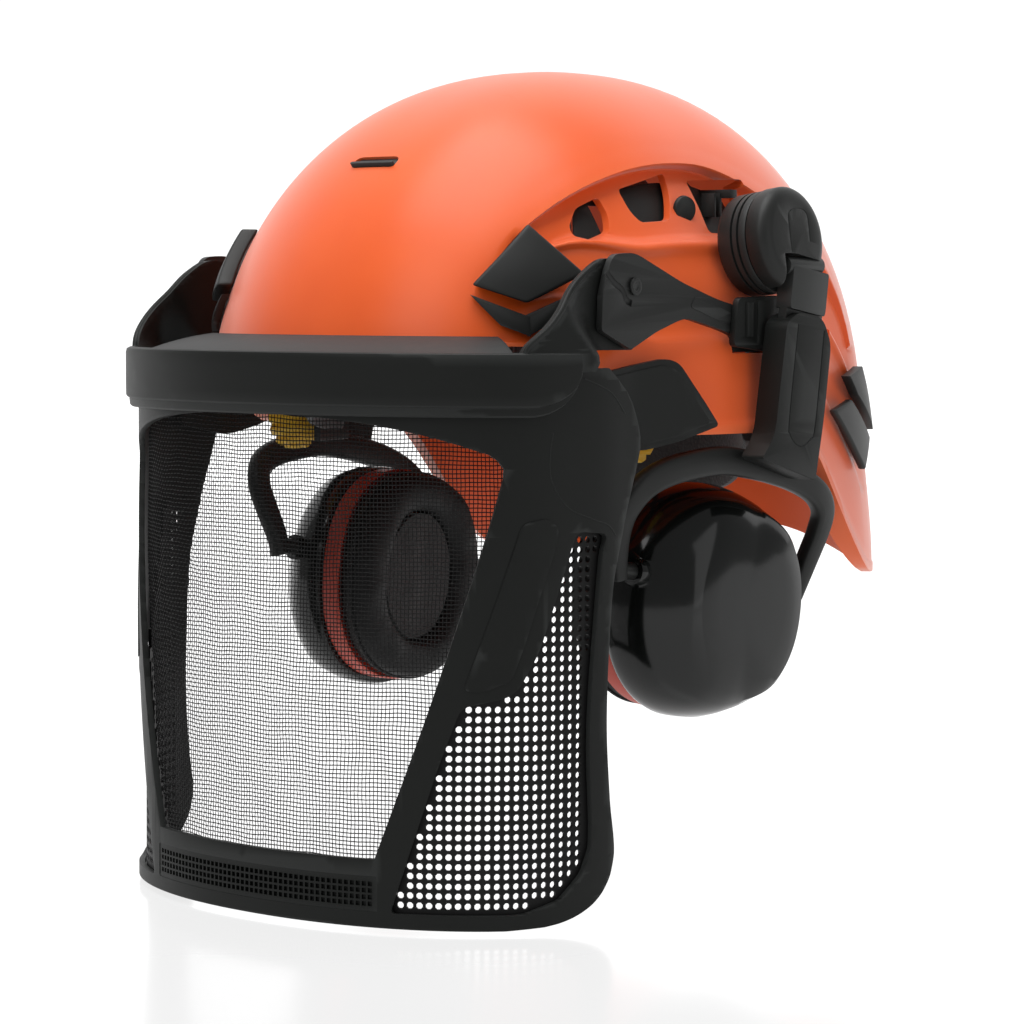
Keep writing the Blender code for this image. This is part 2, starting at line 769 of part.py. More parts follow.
def make_link():
    """Arm that carries the visor from the side adaptor."""
    holes = [
        circle((TILT_PIN.y, TILT_PIN.z), PIN_RADIUS + GAP, 14),
        circle((LIFT_PIN.y, LIFT_PIN.z), PIN_RADIUS + GAP, 14),
    ]
    bm = plate([rounded(LINK, 4.0, 2), *holes], LINK_X[1] - LINK_X[0], facing_x(sum(LINK_X) / 2.0))
    return add_object("visor_link_left", bm, BLACK, lift_axis)


def make_tilt_pin():
    bm = cylinder((107.6, TILT_PIN.y, TILT_PIN.z), (115.8, TILT_PIN.y, TILT_PIN.z), PIN_RADIUS, 14)
    pin = add_object("tilt_pin_left", bm, STEEL, lift_axis)
    head = cylinder((115.7, TILT_PIN.y, TILT_PIN.z), (117.4, TILT_PIN.y, TILT_PIN.z), 4.4, 14)
    return add_boolean(pin, helper_object("join_pin_head", head), "UNION")


# ---------------------------------------------------------------- side adaptor


def join(obj, label, bm):
    """Add a mesh to a piece, as part of the same body."""
    return add_boolean(obj, helper_object(f"join_{label}", bm), "UNION")


def cut(obj, label, bm):
    return add_boolean(obj, helper_object(f"cut_{label}", bm))


def make_adaptor():
    """Block that plugs into the shell's side slot and holds the visor link in a fork."""
    cheek_x = LINK_X[1] + GAP
    outline = rounded(((-7.0, 20.0), (24.0, 17.0), (25.0, 41.0), (-4.0, 40.0)), 4.0, 2)
    adaptor = add_object("side_adaptor_left", plate([outline], 2.8, facing_x(cheek_x + 1.4)), BLACK)
    join(adaptor, "adaptor_plug", box((103.5, -0.6, 17.4), (LINK_X[0] - GAP, 20.6, 32.6)))
    join(adaptor, "adaptor_web", box((108.0, 18.4, 18.4), (cheek_x + 1.2, 20.2, 31.6)))
    start = (LINK_X[0] - 2.0, LIFT_PIN.y, LIFT_PIN.z)
    join(adaptor, "adaptor_pin", cylinder(start, (cheek_x + 1.0, LIFT_PIN.y, LIFT_PIN.z), PIN_RADIUS, 14))
    return adaptor


# ---------------------------------------------------------------- ear muff

HUB_OUT = Vector((math.cos(HUB_TILT), 0.0, math.sin(HUB_TILT)))
HUB_UP = Vector((-math.sin(HUB_TILT), 0.0, math.cos(HUB_TILT)))
ARM_DOWN = Vector((0.0, -math.sin(ARM_LEAN), -math.cos(ARM_LEAN)))
ARM_ACROSS = Vector((0.0, math.cos(ARM_LEAN), -math.sin(ARM_LEAN)))
X_AXIS = Vector((1.0, 0.0, 0.0))


def hub_ring(radius, depth, sides=24):
    """Circle round the hub axis, this far behind the face."""
    centre = HUB_FACE - HUB_OUT * depth
    angles = [2.0 * math.pi * k / sides for k in range(sides)]
    return [centre + Vector((0, radius * math.cos(a), 0)) + HUB_UP * radius * math.sin(a) for a in angles]


def dome_x(y, z, out):
    """Half width of the dome at this place, pushed outwards by out."""
    rise = max(0.0, (z - SHELL_EQUATOR) / (SHELL_TOP + out - SHELL_EQUATOR))
    width = max(0.0, 1.0 - rise ** SIDE_POWER) ** (1.0 / SIDE_POWER)
    length = (SHELL_FRONT if y < WIDEST_Y else SHELL_REAR) + out
    across = abs(y - WIDEST_Y) / (length * width)
    return (SHELL_HALF_WIDTH + out) * width * (1.0 - across ** PLAN_POWER) ** (1.0 / PLAN_POWER)


def make_hub_base():
    """Drum fixed to the shell, with its inner end shaped to the recess."""
    top = HUB_CAP_DEPTH + GAP
    rings = []
    drum = (
        (8.0, 0.0),
        (HUB_RADIUS - 1.2, 0.0),
        (HUB_RADIUS - 0.4, 1.0),
        (HUB_RADIUS - 0.4, HUB_DRUM_DEPTH - 2.0),
        (HUB_RADIUS - 3.0, HUB_DRUM_DEPTH),
        (HUB_STALK_RADIUS, HUB_DRUM_DEPTH),
    )
    for radius, depth in drum:
        rings.append(hub_ring(radius, top + depth))
    for radius in (HUB_STALK_RADIUS, 5.0):
        foot = hub_ring(radius, top)
        rings.append([Vector((dome_x(p.y, p.z, -1.4), p.y, p.z)) for p in foot])
    return add_object("hub_base_left", loft(rings), BLACK)


def make_hub_cap():
    """Turning cap that carries the arm in a notch at its lower rear."""
    rings = [
        hub_ring(HUB_RADIUS, HUB_CAP_DEPTH),
        hub_ring(HUB_RADIUS, 4.0),
        hub_ring(HUB_RADIUS - 3.4, 0.0),
        hub_ring(7.5, 0.0),
    ]
    cap = add_object("hub_cap_left", loft(rings), BLACK, hub_axis)
    edge = KNUCKLE_WIDTH / 2.0 + 0.6
    low = (100.0, SPREAD_AXIS.y - edge, 20.0)
    return cut(cap, "cap_notch", box(low, (150.0, SPREAD_AXIS.y + 40.0, SPREAD_AXIS.z + KNUCKLE_RADIUS + 0.9)))


def arm_bar(low, high, width, thickness, x):
    """Bar along the arm, between two distances below its top."""
    bm = bmesh.new()
    bmesh.ops.create_cube(bm, size=1.0)
    size = Matrix.Diagonal((thickness, width, high - low, 1.0))
    turn = Matrix((X_AXIS, ARM_ACROSS, ARM_DOWN)).transposed().to_4x4()
    centre = Vector((x, ARM_TOP.y, ARM_TOP.z)) + ARM_DOWN * (low + high) / 2.0
    bmesh.ops.transform(bm, matrix=Matrix.Translation(centre) @ turn @ size, verts=bm.verts)
    return bm


def make_arm_blade():
    """Flat arm hanging from the hub, which the sleeve slides on."""
    blade = add_object("arm_blade_left", arm_bar(-19.0, 38.0, BLADE_WIDTH, BLADE_THICKNESS, ARM_TOP.x), BLACK, spread_axis)
    edge = Vector((0.0, KNUCKLE_WIDTH / 2.0, 0.0))
    join(blade, "knuckle", cylinder(SPREAD_AXIS - edge, SPREAD_AXIS + edge, KNUCKLE_RADIUS, 14))
    join(blade, "shoulder", arm_bar(-19.0, -2.0, KNUCKLE_WIDTH, 7.0, ARM_TOP.x))
    return blade


def make_sleeve():
    """Sleeve that holds the yoke and slides down the blade for height."""
    bm = arm_bar(0.0, SLEEVE_LENGTH, SLEEVE_WIDTH, SLEEVE_THICKNESS, ARM_TOP.x)
    sleeve = add_bevel(add_object("arm_sleeve_left", bm, BLACK, height_axis), 3.2)
    pocket = arm_bar(-5.0, 57.5, BLADE_WIDTH + 2.0 * GAP, BLADE_THICKNESS + 2.0 * GAP, ARM_TOP.x)
    return cut(sleeve, "sleeve_pocket", pocket)


# Half of the yoke's path, as (x, share of its reach, z, half height of the section)
YOKE_PATH = (
    (99.0, 1.0, -83.0, 3.4),
    (99.6, 1.0, -72.0, 3.4),
    (103.5, 1.01, -60.0, 3.4),
    (108.0, 1.0, -50.0, 3.6),
    (111.8, 0.94, -40.5, 4.0),
    (114.0, 0.79, -33.8, 4.6),
    (114.6, 0.55, -30.2, 5.4),
    (114.6, 0.28, -28.6, 6.0),
    (114.6, 0.0, -28.2, 6.2),
)


def make_yoke():
    """Bail that straddles the cup and carries it on two studs."""
    half = [Vector((x, CUP_Y - share * YOKE_REACH, z)) for x, share, z, _ in YOKE_PATH]
    path = half + [Vector((p.x, 2.0 * CUP_Y - p.y, p.z)) for p in reversed(half[:-1])]
    heights = [row[3] for row in YOKE_PATH]
    heights += list(reversed(heights[:-1]))
    rings = []
    for k, point in enumerate(path):
        ahead = path[min(k + 1, len(path) - 1)] - path[max(k - 1, 0)]
        across = ahead.cross(X_AXIS).normalized()
        out = across.cross(ahead).normalized()
        ring = []
        for a, b in ((1, 0.5), (0.6, 1), (-0.6, 1), (-1, 0.5), (-1, -0.5), (-0.6, -1), (0.6, -1), (1, -0.5)):
            ring.append(point + out * 3.4 * a + across * heights[k] * b)
        rings.append(ring)
    yoke = add_object("yoke_left", toed(loft(rings)), BLACK, height_axis)
    for number, side in enumerate((-1, 1), 1):
        inner = CUP_PIVOT + Vector((0, side * (CUP_HALF_WIDTH + 0.9), 0))
        outer = CUP_PIVOT + Vector((0, side * (YOKE_REACH + 1.0), 0))
        join(yoke, f"yoke_stud_{number}", toed(cylinder(inner, outer, STUD_RADIUS, 12)))
    return yoke


def toed(bm):
    """The muff parts lean forward like the arm and turn in a little at the front."""
    turn = Matrix.Rotation(TOE_IN, 3, "Z") @ Matrix.Rotation(CUP_LEAN, 3, "X")
    bmesh.ops.rotate(bm, cent=CUP_PIVOT, matrix=turn, verts=bm.verts)
    return bm


CUP_PROFILE = (
    (119.0, 0.0, 0.0),
    (118.6, 0.46, 0.44),
    (116.5, 0.64, 0.66),
    (110.0, 0.82, 0.86),
    (101.0, 0.945, 0.96),
    (92.5, 1.0, 1.0),
    (84.3, 1.0, 1.0),
)
CUP_SIDES = 32


def cup_ring(x, width, height, inset=0.0):
    if width == 0.0:
        return [Vector((x, CUP_Y, CUP_Z))] * CUP_SIDES
    points = oval(CUP_HALF_WIDTH * width - inset, CUP_HALF_HEIGHT * height - inset, CUP_SIDES, 2.15)
    return [Vector((x, CUP_Y + y, CUP_Z + z)) for y, z in points]


def make_cup():
    """Hollow cup, open towards the ear."""
    outer = [cup_ring(x, w, h) for x, w, h in CUP_PROFILE]
    inner = [cup_ring(x - CUP_WALL * (x > 90.0), w, h, CUP_WALL * (w > 0)) for x, w, h in CUP_PROFILE]
    grids = [[list(column) for column in zip(*rings)] for rings in (outer, inner)]
    cup = add_object("cup_left", toed(solid_from_grids(*grids, wrap=True, pole=True)), GLOSS, cup_axis)
    for number, side in enumerate((-1, 1), 1):
        end = CUP_PIVOT + Vector((0, side * (CUP_HALF_WIDTH + 0.5), 0))
        boss = cylinder(CUP_PIVOT + Vector((0, side * (CUP_HALF_WIDTH - 5.0), 0)), end, 5.6, 16)
        join(cup, f"cup_boss_{number}", toed(boss))
    return cup


def annulus_object(name, material, centre_z, sections, opening):
    """Pad round the ear: sections are (x, share outwards) points round the padding."""
    outer_size, inner_size = sections[0], opening
    outline = sections[1]
    outer = oval(*outer_size, CUP_SIDES, 2.3)
    inner = oval(*inner_size, CUP_SIDES, 2.2)
    rings = []
    for (y0, z0), (y1, z1) in zip(inner, outer):
        rings.append([Vector((x, CUP_Y + blend(y0, y1, s), centre_z + blend(z0, z1, s))) for x, s in outline])
    return add_object(name, toed(loft_loop(rings)), material, cup_axis)


def loft_loop(rings):
    """Closed solid through rings that come back round to the first."""
    bm = bmesh.new()
    loops = [[bm.verts.new(p) for p in ring] for ring in rings]
    count = len(loops[0])
    for k, low in enumerate(loops):
        high = loops[(k + 1) % len(loops)]
        for m in range(count):
            bm.faces.new((low[m], low[(m + 1) % count], high[(m + 1) % count], high[m]))
    return bm


RING_SECTION = ((77.6, 0.08), (77.6, 0.9), (79.0, 1.0), (82.6, 1.0), (84.0, 0.93), (84.0, 0.0), (79.0, 0.0))
CUSHION_SECTION = ((77.3, 0.12), (77.3, 0.86), (73.5, 0.985), (68.0, 1.0), (62.8, 0.9), (60.2, 0.66),
                   (60.2, 0.34), (62.8, 0.1), (68.0, 0.0), (73.5, 0.02))


def make_back_ring():
    return annulus_object("back_ring_left", RED, CUP_Z + 1.0, ((47.5, 53.0), RING_SECTION), (27.0, 33.0))


def make_cushion():
    return annulus_object("cushion_left", FOAM, CUP_Z + 1.0, ((44.5, 50.0), CUSHION_SECTION), (25.0, 31.0))


def make_foam_insert():
    """Sound absorbing pad inside the cup."""
    rings = []
    for x, width, height in ((84.6, 0.9, 0.91), (97.0, 0.87, 0.89), (104.0, 0.72, 0.74)):
        rings.append(cup_ring(x, width, height))
    return add_object("foam_insert_left", toed(loft(rings)), FOAM, cup_axis)


# ---------------------------------------------------------------- suspension


def band_radius_point(azimuth, out=0.0):
    """Point of the headband's plan, with 0 at the front and 90 at the wearer's left."""
    angle = math.radians(azimuth)
    x = math.sin(angle) / BAND_HALF_WIDTH
    y = math.cos(angle) / BAND_HALF_LENGTH
    reach = (abs(x) ** 2.3 + abs(y) ** 2.3) ** (-1.0 / 2.3)
    sx = x * reach * (BAND_HALF_WIDTH + out)
    sy = -y * reach * (BAND_HALF_LENGTH + out)
    return sx, BAND_CENTRE_Y + sy


def band_bottom(azimuth):
    """Lower edge of the headband: level at the brow and sides, dipping to the nape."""
    side = abs(azimuth) if abs(azimuth) <= 180.0 else 360.0 - abs(azimuth)
    return -8.0 - 8.0 * smooth(20.0, 60.0, side) - 20.0 * smooth(125.0, 165.0, side)


def make_headband():
    azimuths = [k * 10.0 for k in range(36)]
    grids = []
    for out in (BAND_WALL, 0.0):
        grid = []
        for azimuth in azimuths:
            low = band_bottom(azimuth)
            x, y = band_radius_point(azimuth, out)
            grid.append([Vector((x, y, z)) for z in (low + BAND_HEIGHT, low)])
        grids.append(grid)
    return add_object("headband", solid_from_grids(*grids, wrap=True), BLACK)


def make_sweatband():
    """Pad on the inside of the brow."""
    grids = []
    for out in (-0.9, -5.0):
        grid = []
        for k in range(-7, 8):
            azimuth = k * 9.0
            low = band_bottom(azimuth)
            x, y = band_radius_point(azimuth, out)
            grid.append([Vector((x, y, z)) for z in (low + BAND_HEIGHT, low - 3.0)])
        grids.append(grid)
    return add_object("sweatband", solid_from_grids(*grids), FOAM)


def make_crown_strap(name, azimuth, layer):
    """Webbing over the crown, ending on the headband at both sides."""
    grids = []
    for out in (1.4, 0.0):
        grid = []
        for k in range(-10, 11):
            turn = math.radians(9.0 * k)
            heading = azimuth if k >= 0 else azimuth + 180.0
            x, y = band_radius_point(heading, 0.2 + out)
            base = band_bottom(heading) + BAND_HEIGHT + 2.7
            share = abs(math.sin(turn)) ** 0.92
            lift = math.cos(turn) ** 0.92 if abs(k) < 10 else 0.0
            centre = Vector((x * share, blend(BAND_CENTRE_Y, y, share), 0.0))
            centre.z = base + (CROWN_Z + layer * 2.3 + out - base) * lift
            side = Vector((math.cos(math.radians(azimuth)), math.sin(math.radians(azimuth)), 0.0))
            grid.append([centre - side * 9.0, centre + side * 9.0])
        grids.append(grid)
    return add_object(name, solid_from_grids(*grids), WEBBING)


def make_wheel():
    """Scalloped wheel that tightens the headband."""
    points = []
    for k in range(40):
        angle = 2.0 * math.pi * k / 40
        radius = WHEEL_RADIUS - 0.7 * (k % 4 in (2, 3))
        points.append((WHEEL.y + radius * math.cos(angle), WHEEL.z + radius * math.sin(angle)))
    return add_object("side_wheel_left", plate([points], 6.6, facing_x(WHEEL.x)), YELLOW, wheel_axis)


def make_wheel_mount():
    """Plate on the headband that the wheel turns on."""
    grids = []
    for out in (2.2, 0.0):
        grid = []
        for azimuth in (56.0, 60.0, 64.0, 68.0, 72.0):
            px, py = band_radius_point(azimuth, BAND_WALL + GAP + out)
            reach = px + 0.6 if out else px
            grid.append([Vector((reach, py, -3.0)), Vector((reach, py, -24.0))])
        grids.append(grid)
    return add_object("wheel_mount_left", solid_from_grids(*grids), BLACK)


def make_nape_cradle():
    """Pad that cups the back of the head below the headband."""
    grids = []
    for out in (-0.9, -5.4):
        grid = []
        for k in range(-5, 6):
            azimuth = 180.0 + k * 8.0
            x, y = band_radius_point(azimuth, out)
            low = band_bottom(azimuth) - 14.0 * smooth(0.0, 1.0, 1.0 - abs(k) / 6.0)
            grid.append([Vector((x, y, z)) for z in (-14.0, low)])
        grids.append(grid)
    return add_object("nape_cradle", solid_from_grids(*grids), FOAM)


# ---------------------------------------------------------------- build


def axis_pair(name, position):
    """Pivots for the two sides. The left one is returned, and the right is found by its name."""
    axis_empty(f"{name}_right", (-position[0], position[1], position[2]))
    return axis_empty(f"{name}_left", position)


tilt_axis = axis_empty("visor_tilt_axis", TILT_PIN)
lift_axis = axis_empty("visor_lift_axis", LIFT_PIN)
vent_axis = axis_pair("vent_slide", (88.0, 0.0, 78.0))
hub_axis = axis_pair("hub_swing", HUB_FACE)
spread_axis = axis_pair("arm_spread", SPREAD_AXIS)
height_axis = axis_pair("height_slide", ARM_TOP)
cup_axis = axis_pair("cup_tilt", CUP_PIVOT)
wheel_axis = axis_pair("wheel_turn", WHEEL)
bpy.context.view_layer.update()

make_shell()
make_front_insert()
make_visor_frame()
make_mesh_screen()
make_brow_band()
make_brim_seal()
make_headband()
make_sweatband()
make_nape_cradle()
make_crown_strap("crown_strap_side", 90.0, 0)
make_crown_strap("crown_strap_front_left", 34.0, 1)
make_crown_strap("crown_strap_front_right", -34.0, 2)

left_pieces = [
    make_side_plug(),
    make_shutter(),
    *make_lamp_clips(),
    make_side_panel(),
    make_temple_wing(),
    make_link(),
    make_tilt_pin(),
    make_adaptor(),
    make_hub_base(),
    make_hub_cap(),
    make_arm_blade(),
    make_sleeve(),
    make_yoke(),
    make_cup(),
    make_back_ring(),
    make_cushion(),
    make_foam_insert(),
    make_wheel(),
    make_wheel_mount(),
]
bpy.context.view_layer.update()
for piece in left_pieces:
    pivot = piece.parent
    if pivot and pivot.name.endswith("_left"):
        pivot = bpy.data.objects[pivot.name.replace("_left", "_right")]
    mirrored(piece, piece.name.replace("_left", "_right"), pivot)
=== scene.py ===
"""Looks of the forestry helmet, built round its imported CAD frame.

Shapes are drawn in millimetres in the frame's axes: +X is the wearer's left, -Y the front and
+Z up. Pieces that come in pairs are drawn for the left and mirrored for the right.
"""

import math

import bmesh
import bpy
import numpy as np
from mathutils import Matrix, Vector, noise


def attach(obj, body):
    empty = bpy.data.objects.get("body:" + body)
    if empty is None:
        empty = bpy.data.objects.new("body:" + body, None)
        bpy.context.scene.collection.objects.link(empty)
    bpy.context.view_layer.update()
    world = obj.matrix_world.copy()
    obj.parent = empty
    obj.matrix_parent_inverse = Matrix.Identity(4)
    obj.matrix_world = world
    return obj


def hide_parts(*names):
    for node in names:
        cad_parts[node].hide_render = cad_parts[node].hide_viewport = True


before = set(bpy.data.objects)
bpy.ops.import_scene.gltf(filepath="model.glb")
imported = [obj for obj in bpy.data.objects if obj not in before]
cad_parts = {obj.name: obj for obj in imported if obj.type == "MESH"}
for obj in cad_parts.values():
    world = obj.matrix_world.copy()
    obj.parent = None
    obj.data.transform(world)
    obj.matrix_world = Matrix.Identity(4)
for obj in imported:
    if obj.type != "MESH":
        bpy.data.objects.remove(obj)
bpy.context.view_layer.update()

MM = 0.001
GAP = 0.3
WELD = 1e-4
BEVEL_ANGLE = 38.0

# Shell, as in the CAD
SHELL_HALF_WIDTH = 118.0
SHELL_FRONT = 162.0
SHELL_REAR = 142.0
WIDEST_Y = 21.0
SHELL_TOP = 138.0
SHELL_EQUATOR = -25.0
PLAN_POWER = 2.55
SIDE_POWER = 2.2
SHELL_WALL = 2.6
FRONT_RIM_Z = 20.0
SIDE_RIM_Z = -16.0
NAPE_RIM_Z = -81.0
RECESS_DEPTH = 6.5
NAPE_FLARE = 5.0
NAPE_ARCH = 16.0
# Raised arch over the side recess: angles are degrees from the front
ARCH_AZIMUTH = 79.0
ARCH_FRONT_SPAN = 52.0
ARCH_REAR_SPAN = 49.0
ARCH_FOOT = 20.0
ARCH_RISE = 76.0

# Visor
VISOR_HALF_WIDTH = 120.0
VISOR_DEPTH = 87.0
VISOR_CENTRE_Y = -84.0
VISOR_POWER = 2.12
FRAME_WALL = 2.5
TILT_PIN = Vector((0.0, -70.0, 44.0))
LIFT_PIN = Vector((0.0, 8.0, 30.0))
LINK_X = (112.6, 115.4)
BRACKET_X = (108.9, 111.9)
WEAVE_PITCH = 1.65
WEAVE_BOTTOM = -185.5
WIRE_RADIUS = 0.22
# Fixes the random drift of the wires
WEAVE_SEED = 5
HOLE_PITCH = 3.9
HOLE_RADIUS = 1.42

# Ear muff
HUB_FACE = Vector((129.7, 21.0, 65.0))
HUB_TILT = math.radians(8.0)
HUB_RADIUS = 22.0
HUB_CAP_DEPTH = 10.5
HUB_DRUM_DEPTH = 16.0
SPREAD_AXIS = Vector((127.6, 27.5, 53.5))
KNUCKLE_RADIUS = 4.2
KNUCKLE_WIDTH = 31.0
ARM_LEAN = math.radians(8.4)
ARM_TOP = Vector((127.0, 28.0, 32.0))
CUP_Y = 3.0
CUP_Z = -87.0
CUP_HALF_WIDTH = 47.5
CUP_HALF_HEIGHT = 49.5
CUP_WALL = 2.5
PAD_Z = CUP_Z + 1.0
CUP_PIVOT = Vector((99.0, CUP_Y, -79.0))
TOE_IN = math.radians(-4.0)
CUP_LEAN = math.radians(-8.4)
YOKE_REACH = 60.0

# Suspension
BAND_HALF_WIDTH = 84.0
BAND_HALF_LENGTH = 107.0
BAND_CENTRE_Y = 7.0
BAND_POWER = 2.3
BAND_WALL = 1.8
BAND_HEIGHT = 22.0
WHEEL = Vector((94.3, -45.0, -14.0))
WHEEL_RADIUS = 14.0
CROWN_Z = 108.0

FLOOR_Z = -209.0


# ---------------------------------------------------------------- materials


class Nodes:
    """Short way to add and link the nodes of one material."""

    def __init__(self, name):
        self.material = bpy.data.materials.new(name)
        self.material.use_nodes = True
        self.tree = self.material.node_tree
        self.shader = self.tree.nodes["Principled BSDF"]
        self.place = self.add("ShaderNodeTexCoord").outputs["Object"]

    def add(self, kind, **settings):
        node = self.tree.nodes.new(kind)
        for key, value in settings.items():
            setattr(node, key, value)
        return node

    def link(self, source, target):
        self.tree.links.new(source, target)

    def noise(self, size_mm, detail=2.0, place=None, roughness=0.5):
        node = self.add("ShaderNodeTexNoise")
        node.inputs["Scale"].default_value = 1.0 / (size_mm * MM)
        node.inputs["Detail"].default_value = detail
        node.inputs["Roughness"].default_value = roughness
        self.link(place or self.place, node.inputs["Vector"])
        return node.outputs["Fac"]

    def stretched(self, x, y, z):
        node = self.add("ShaderNodeMapping")
        node.inputs["Scale"].default_value = (x, y, z)
        self.link(self.place, node.inputs["Vector"])
        return node.outputs["Vector"]

    def ramp(self, value, *stops):
        node = self.add("ShaderNodeValToRGB")
        ramp = node.color_ramp
        while len(ramp.elements) < len(stops):
            ramp.elements.new(0.5)
        for element, (position, colour) in zip(ramp.elements, stops):
            element.position = position
            rgb = colour if isinstance(colour, tuple) else (colour, colour, colour)
            element.color = (*rgb, 1.0)
        self.link(value, node.inputs["Fac"])
        return node.outputs["Color"]

    def feed(self, socket, value):
        """Links another node's output to the socket, or sets a number or colour on it."""
        if isinstance(value, bpy.types.NodeSocket):
            self.link(value, socket)
        elif isinstance(value, tuple):
            socket.default_value = (*value, 1.0)
        else:
            socket.default_value = value

    def mix(self, factor, a, b):
        node = self.add("ShaderNodeMix", data_type="RGBA")
        for name, value in (("Factor", factor), ("A", a), ("B", b)):
            self.feed(node.inputs[name], value)
        return node.outputs["Result"]

    def math(self, operation, a, b):
        node = self.add("ShaderNodeMath", operation=operation)
        for socket, value in zip(node.inputs, (a, b)):
            self.feed(socket, value)
        return node.outputs["Value"]

    def bump(self, height, distance_mm, strength=1.0, under=None):
        node = self.add("ShaderNodeBump")
        node.inputs["Distance"].default_value = distance_mm * MM
        node.inputs["Strength"].default_value = strength
        self.link(height, node.inputs["Height"])
        if under is not None:
            self.link(under, node.inputs["Normal"])
        return node.outputs["Normal"]

    def edges(self, low=0.52, high=0.62):
        """1 along outward edges, 0 elsewhere."""
        pointiness = self.add("ShaderNodeNewGeometry").outputs["Pointiness"]
        return self.ramp(pointiness, (low, 0.0), (high, 1.0))

    def finish(self, colour, roughness, normal, **constants):
        """Feeds the shader. A constant's name has _ where its socket's name has a space."""
        for name, value in (("Base Color", colour), ("Roughness", roughness), ("Normal", normal)):
            if value is not None:
                self.feed(self.shader.inputs[name], value)
        for name, value in constants.items():
            self.shader.inputs[name.replace("_", " ")].default_value = value
        return self.material


def shades(colour, amount):
    """A darker and a lighter version of a colour."""
    dark = tuple(c * (1.0 - amount) for c in colour)
    light = tuple(min(1.0, c * (1.0 + amount)) for c in colour)
    return dark, light


def moulded(name, colour, roughness, grain_mm, grain_depth, variation=0.12, edge_highlight=None, **constants):
    """Moulded plastic: fine spark-eroded grain, faint flow clouds, handling marks and a painted highlight
    along its outward edges.
    """
    m = Nodes(name)
    dark, light = shades(colour, variation)
    clouds = m.noise(46.0, 4.0, roughness=0.6)
    tint = m.ramp(clouds, (0.3, dark), (0.7, light))
    rubbed = m.noise(9.0, 6.0, m.stretched(1.0, 0.35, 1.0), 0.7)
    marks = m.ramp(rubbed, (0.56, 0.0), (0.74, 1.0))
    tint = m.mix(m.math("MULTIPLY", marks, 0.25), tint, light)
    # Painted highlight: outward edges are mixed towards the given lighter colour
    if edge_highlight:
        tint = m.mix(m.math("MULTIPLY", m.edges(), 0.55), tint, edge_highlight)
    rough = m.math("ADD", m.math("MULTIPLY", clouds, 0.12), roughness - 0.06)
    rough = m.math("SUBTRACT", rough, m.math("MULTIPLY", marks, 0.05))
    grain = m.noise(grain_mm, 3.0, roughness=0.65)
    normal = m.bump(clouds, 0.25, 0.25)
    normal = m.bump(grain, grain_depth, 0.7, normal)
    return m.finish(tint, rough, normal, **constants)


def make_shell_paint():
    m = Nodes("orange_shell")
    clouds = m.noise(60.0, 3.0, roughness=0.55)
    tint = m.ramp(clouds, (0.3, (0.77, 0.094, 0.007)), (0.7, (0.83, 0.11, 0.009)))
    specks = m.ramp(m.noise(2.4, 8.0, roughness=0.8), (0.66, 0.0), (0.78, 1.0))
    tint = m.mix(m.math("MULTIPLY", specks, 0.16), tint, (0.6, 0.08, 0.015))
    # Painted highlight: outward edges of the shell are mixed towards a paler orange
    tint = m.mix(m.math("MULTIPLY", m.edges(0.53, 0.66), 0.3), tint, (0.95, 0.33, 0.14))
    scuffs = m.ramp(m.noise(5.0, 8.0, m.stretched(0.22, 1.0, 1.0), 0.75), (0.6, 0.0), (0.76, 1.0))
    rough = m.math("ADD", m.math("MULTIPLY", clouds, 0.1), 0.3)
    rough = m.math("ADD", rough, m.math("MULTIPLY", scuffs, 0.12))
    peel = m.noise(1.6, 2.0)
    normal = m.bump(clouds, 0.3, 0.25)
    normal = m.bump(peel, 0.035, 0.55, normal)
    normal = m.bump(scuffs, 0.01, 0.3, normal)
    return m.finish(
        tint, rough, normal,
        Subsurface_Weight=0.04, Subsurface_Scale=0.004, Specular_IOR_Level=0.36,
        Sheen_Weight=0.36, Sheen_Roughness=0.45,
    )


def make_foam(name, colour, cell_mm):
    m = Nodes(name)
    dark, light = shades(colour, 0.4)
    cells = m.add("ShaderNodeTexVoronoi", feature="SMOOTH_F1")
    cells.inputs["Scale"].default_value = 1.0 / (cell_mm * MM)
    m.link(m.place, cells.inputs["Vector"])
    tint = m.ramp(cells.outputs["Distance"], (0.1, light), (0.6, dark))
    normal = m.bump(m.noise(14.0, 3.0), 0.6, 0.4)
    normal = m.bump(cells.outputs["Distance"], cell_mm * 0.3, 0.6, normal)
    return m.finish(tint, 0.92, normal, Sheen_Weight=0.2, Sheen_Roughness=0.6)


def make_leatherette():
    """Soft skin of the ear cushions and pads."""
    m = Nodes("cushion_skin")
    grain = m.add("ShaderNodeTexVoronoi", feature="DISTANCE_TO_EDGE")
    grain.inputs["Scale"].default_value = 900.0
    m.link(m.place, grain.inputs["Vector"])
    creases = m.noise(7.0, 5.0, m.stretched(1.6, 0.7, 0.7), 0.6)
    tint = m.ramp(creases, (0.35, (0.0045, 0.0045, 0.0048)), (0.7, (0.009, 0.009, 0.0095)))
    rough = m.math("ADD", m.math("MULTIPLY", creases, 0.2), 0.42)
    normal = m.bump(creases, 0.5, 0.45)
    normal = m.bump(m.ramp(grain.outputs["Distance"], (0.0, 0.0), (0.25, 1.0)), 0.06, 0.7, normal)
    return m.finish(tint, rough, normal, Specular_IOR_Level=0.2)


def make_webbing():
    m = Nodes("grey_webbing")
    bands = []
    for axis in ("X", "Y"):
        wave = m.add("ShaderNodeTexWave", wave_type="BANDS", bands_direction=axis, wave_profile="SIN")
        wave.inputs["Scale"].default_value = 260.0
        wave.inputs["Distortion"].default_value = 0.6
        m.link(m.place, wave.inputs["Vector"])
        bands.append(wave.outputs["Fac"])
    weave = m.math("MULTIPLY", bands[0], bands[1])
    tint = m.ramp(weave, (0.0, (0.035, 0.036, 0.04)), (1.0, (0.12, 0.12, 0.13)))
    return m.finish(tint, 0.85, m.bump(weave, 0.25, 0.8), Sheen_Weight=0.4)


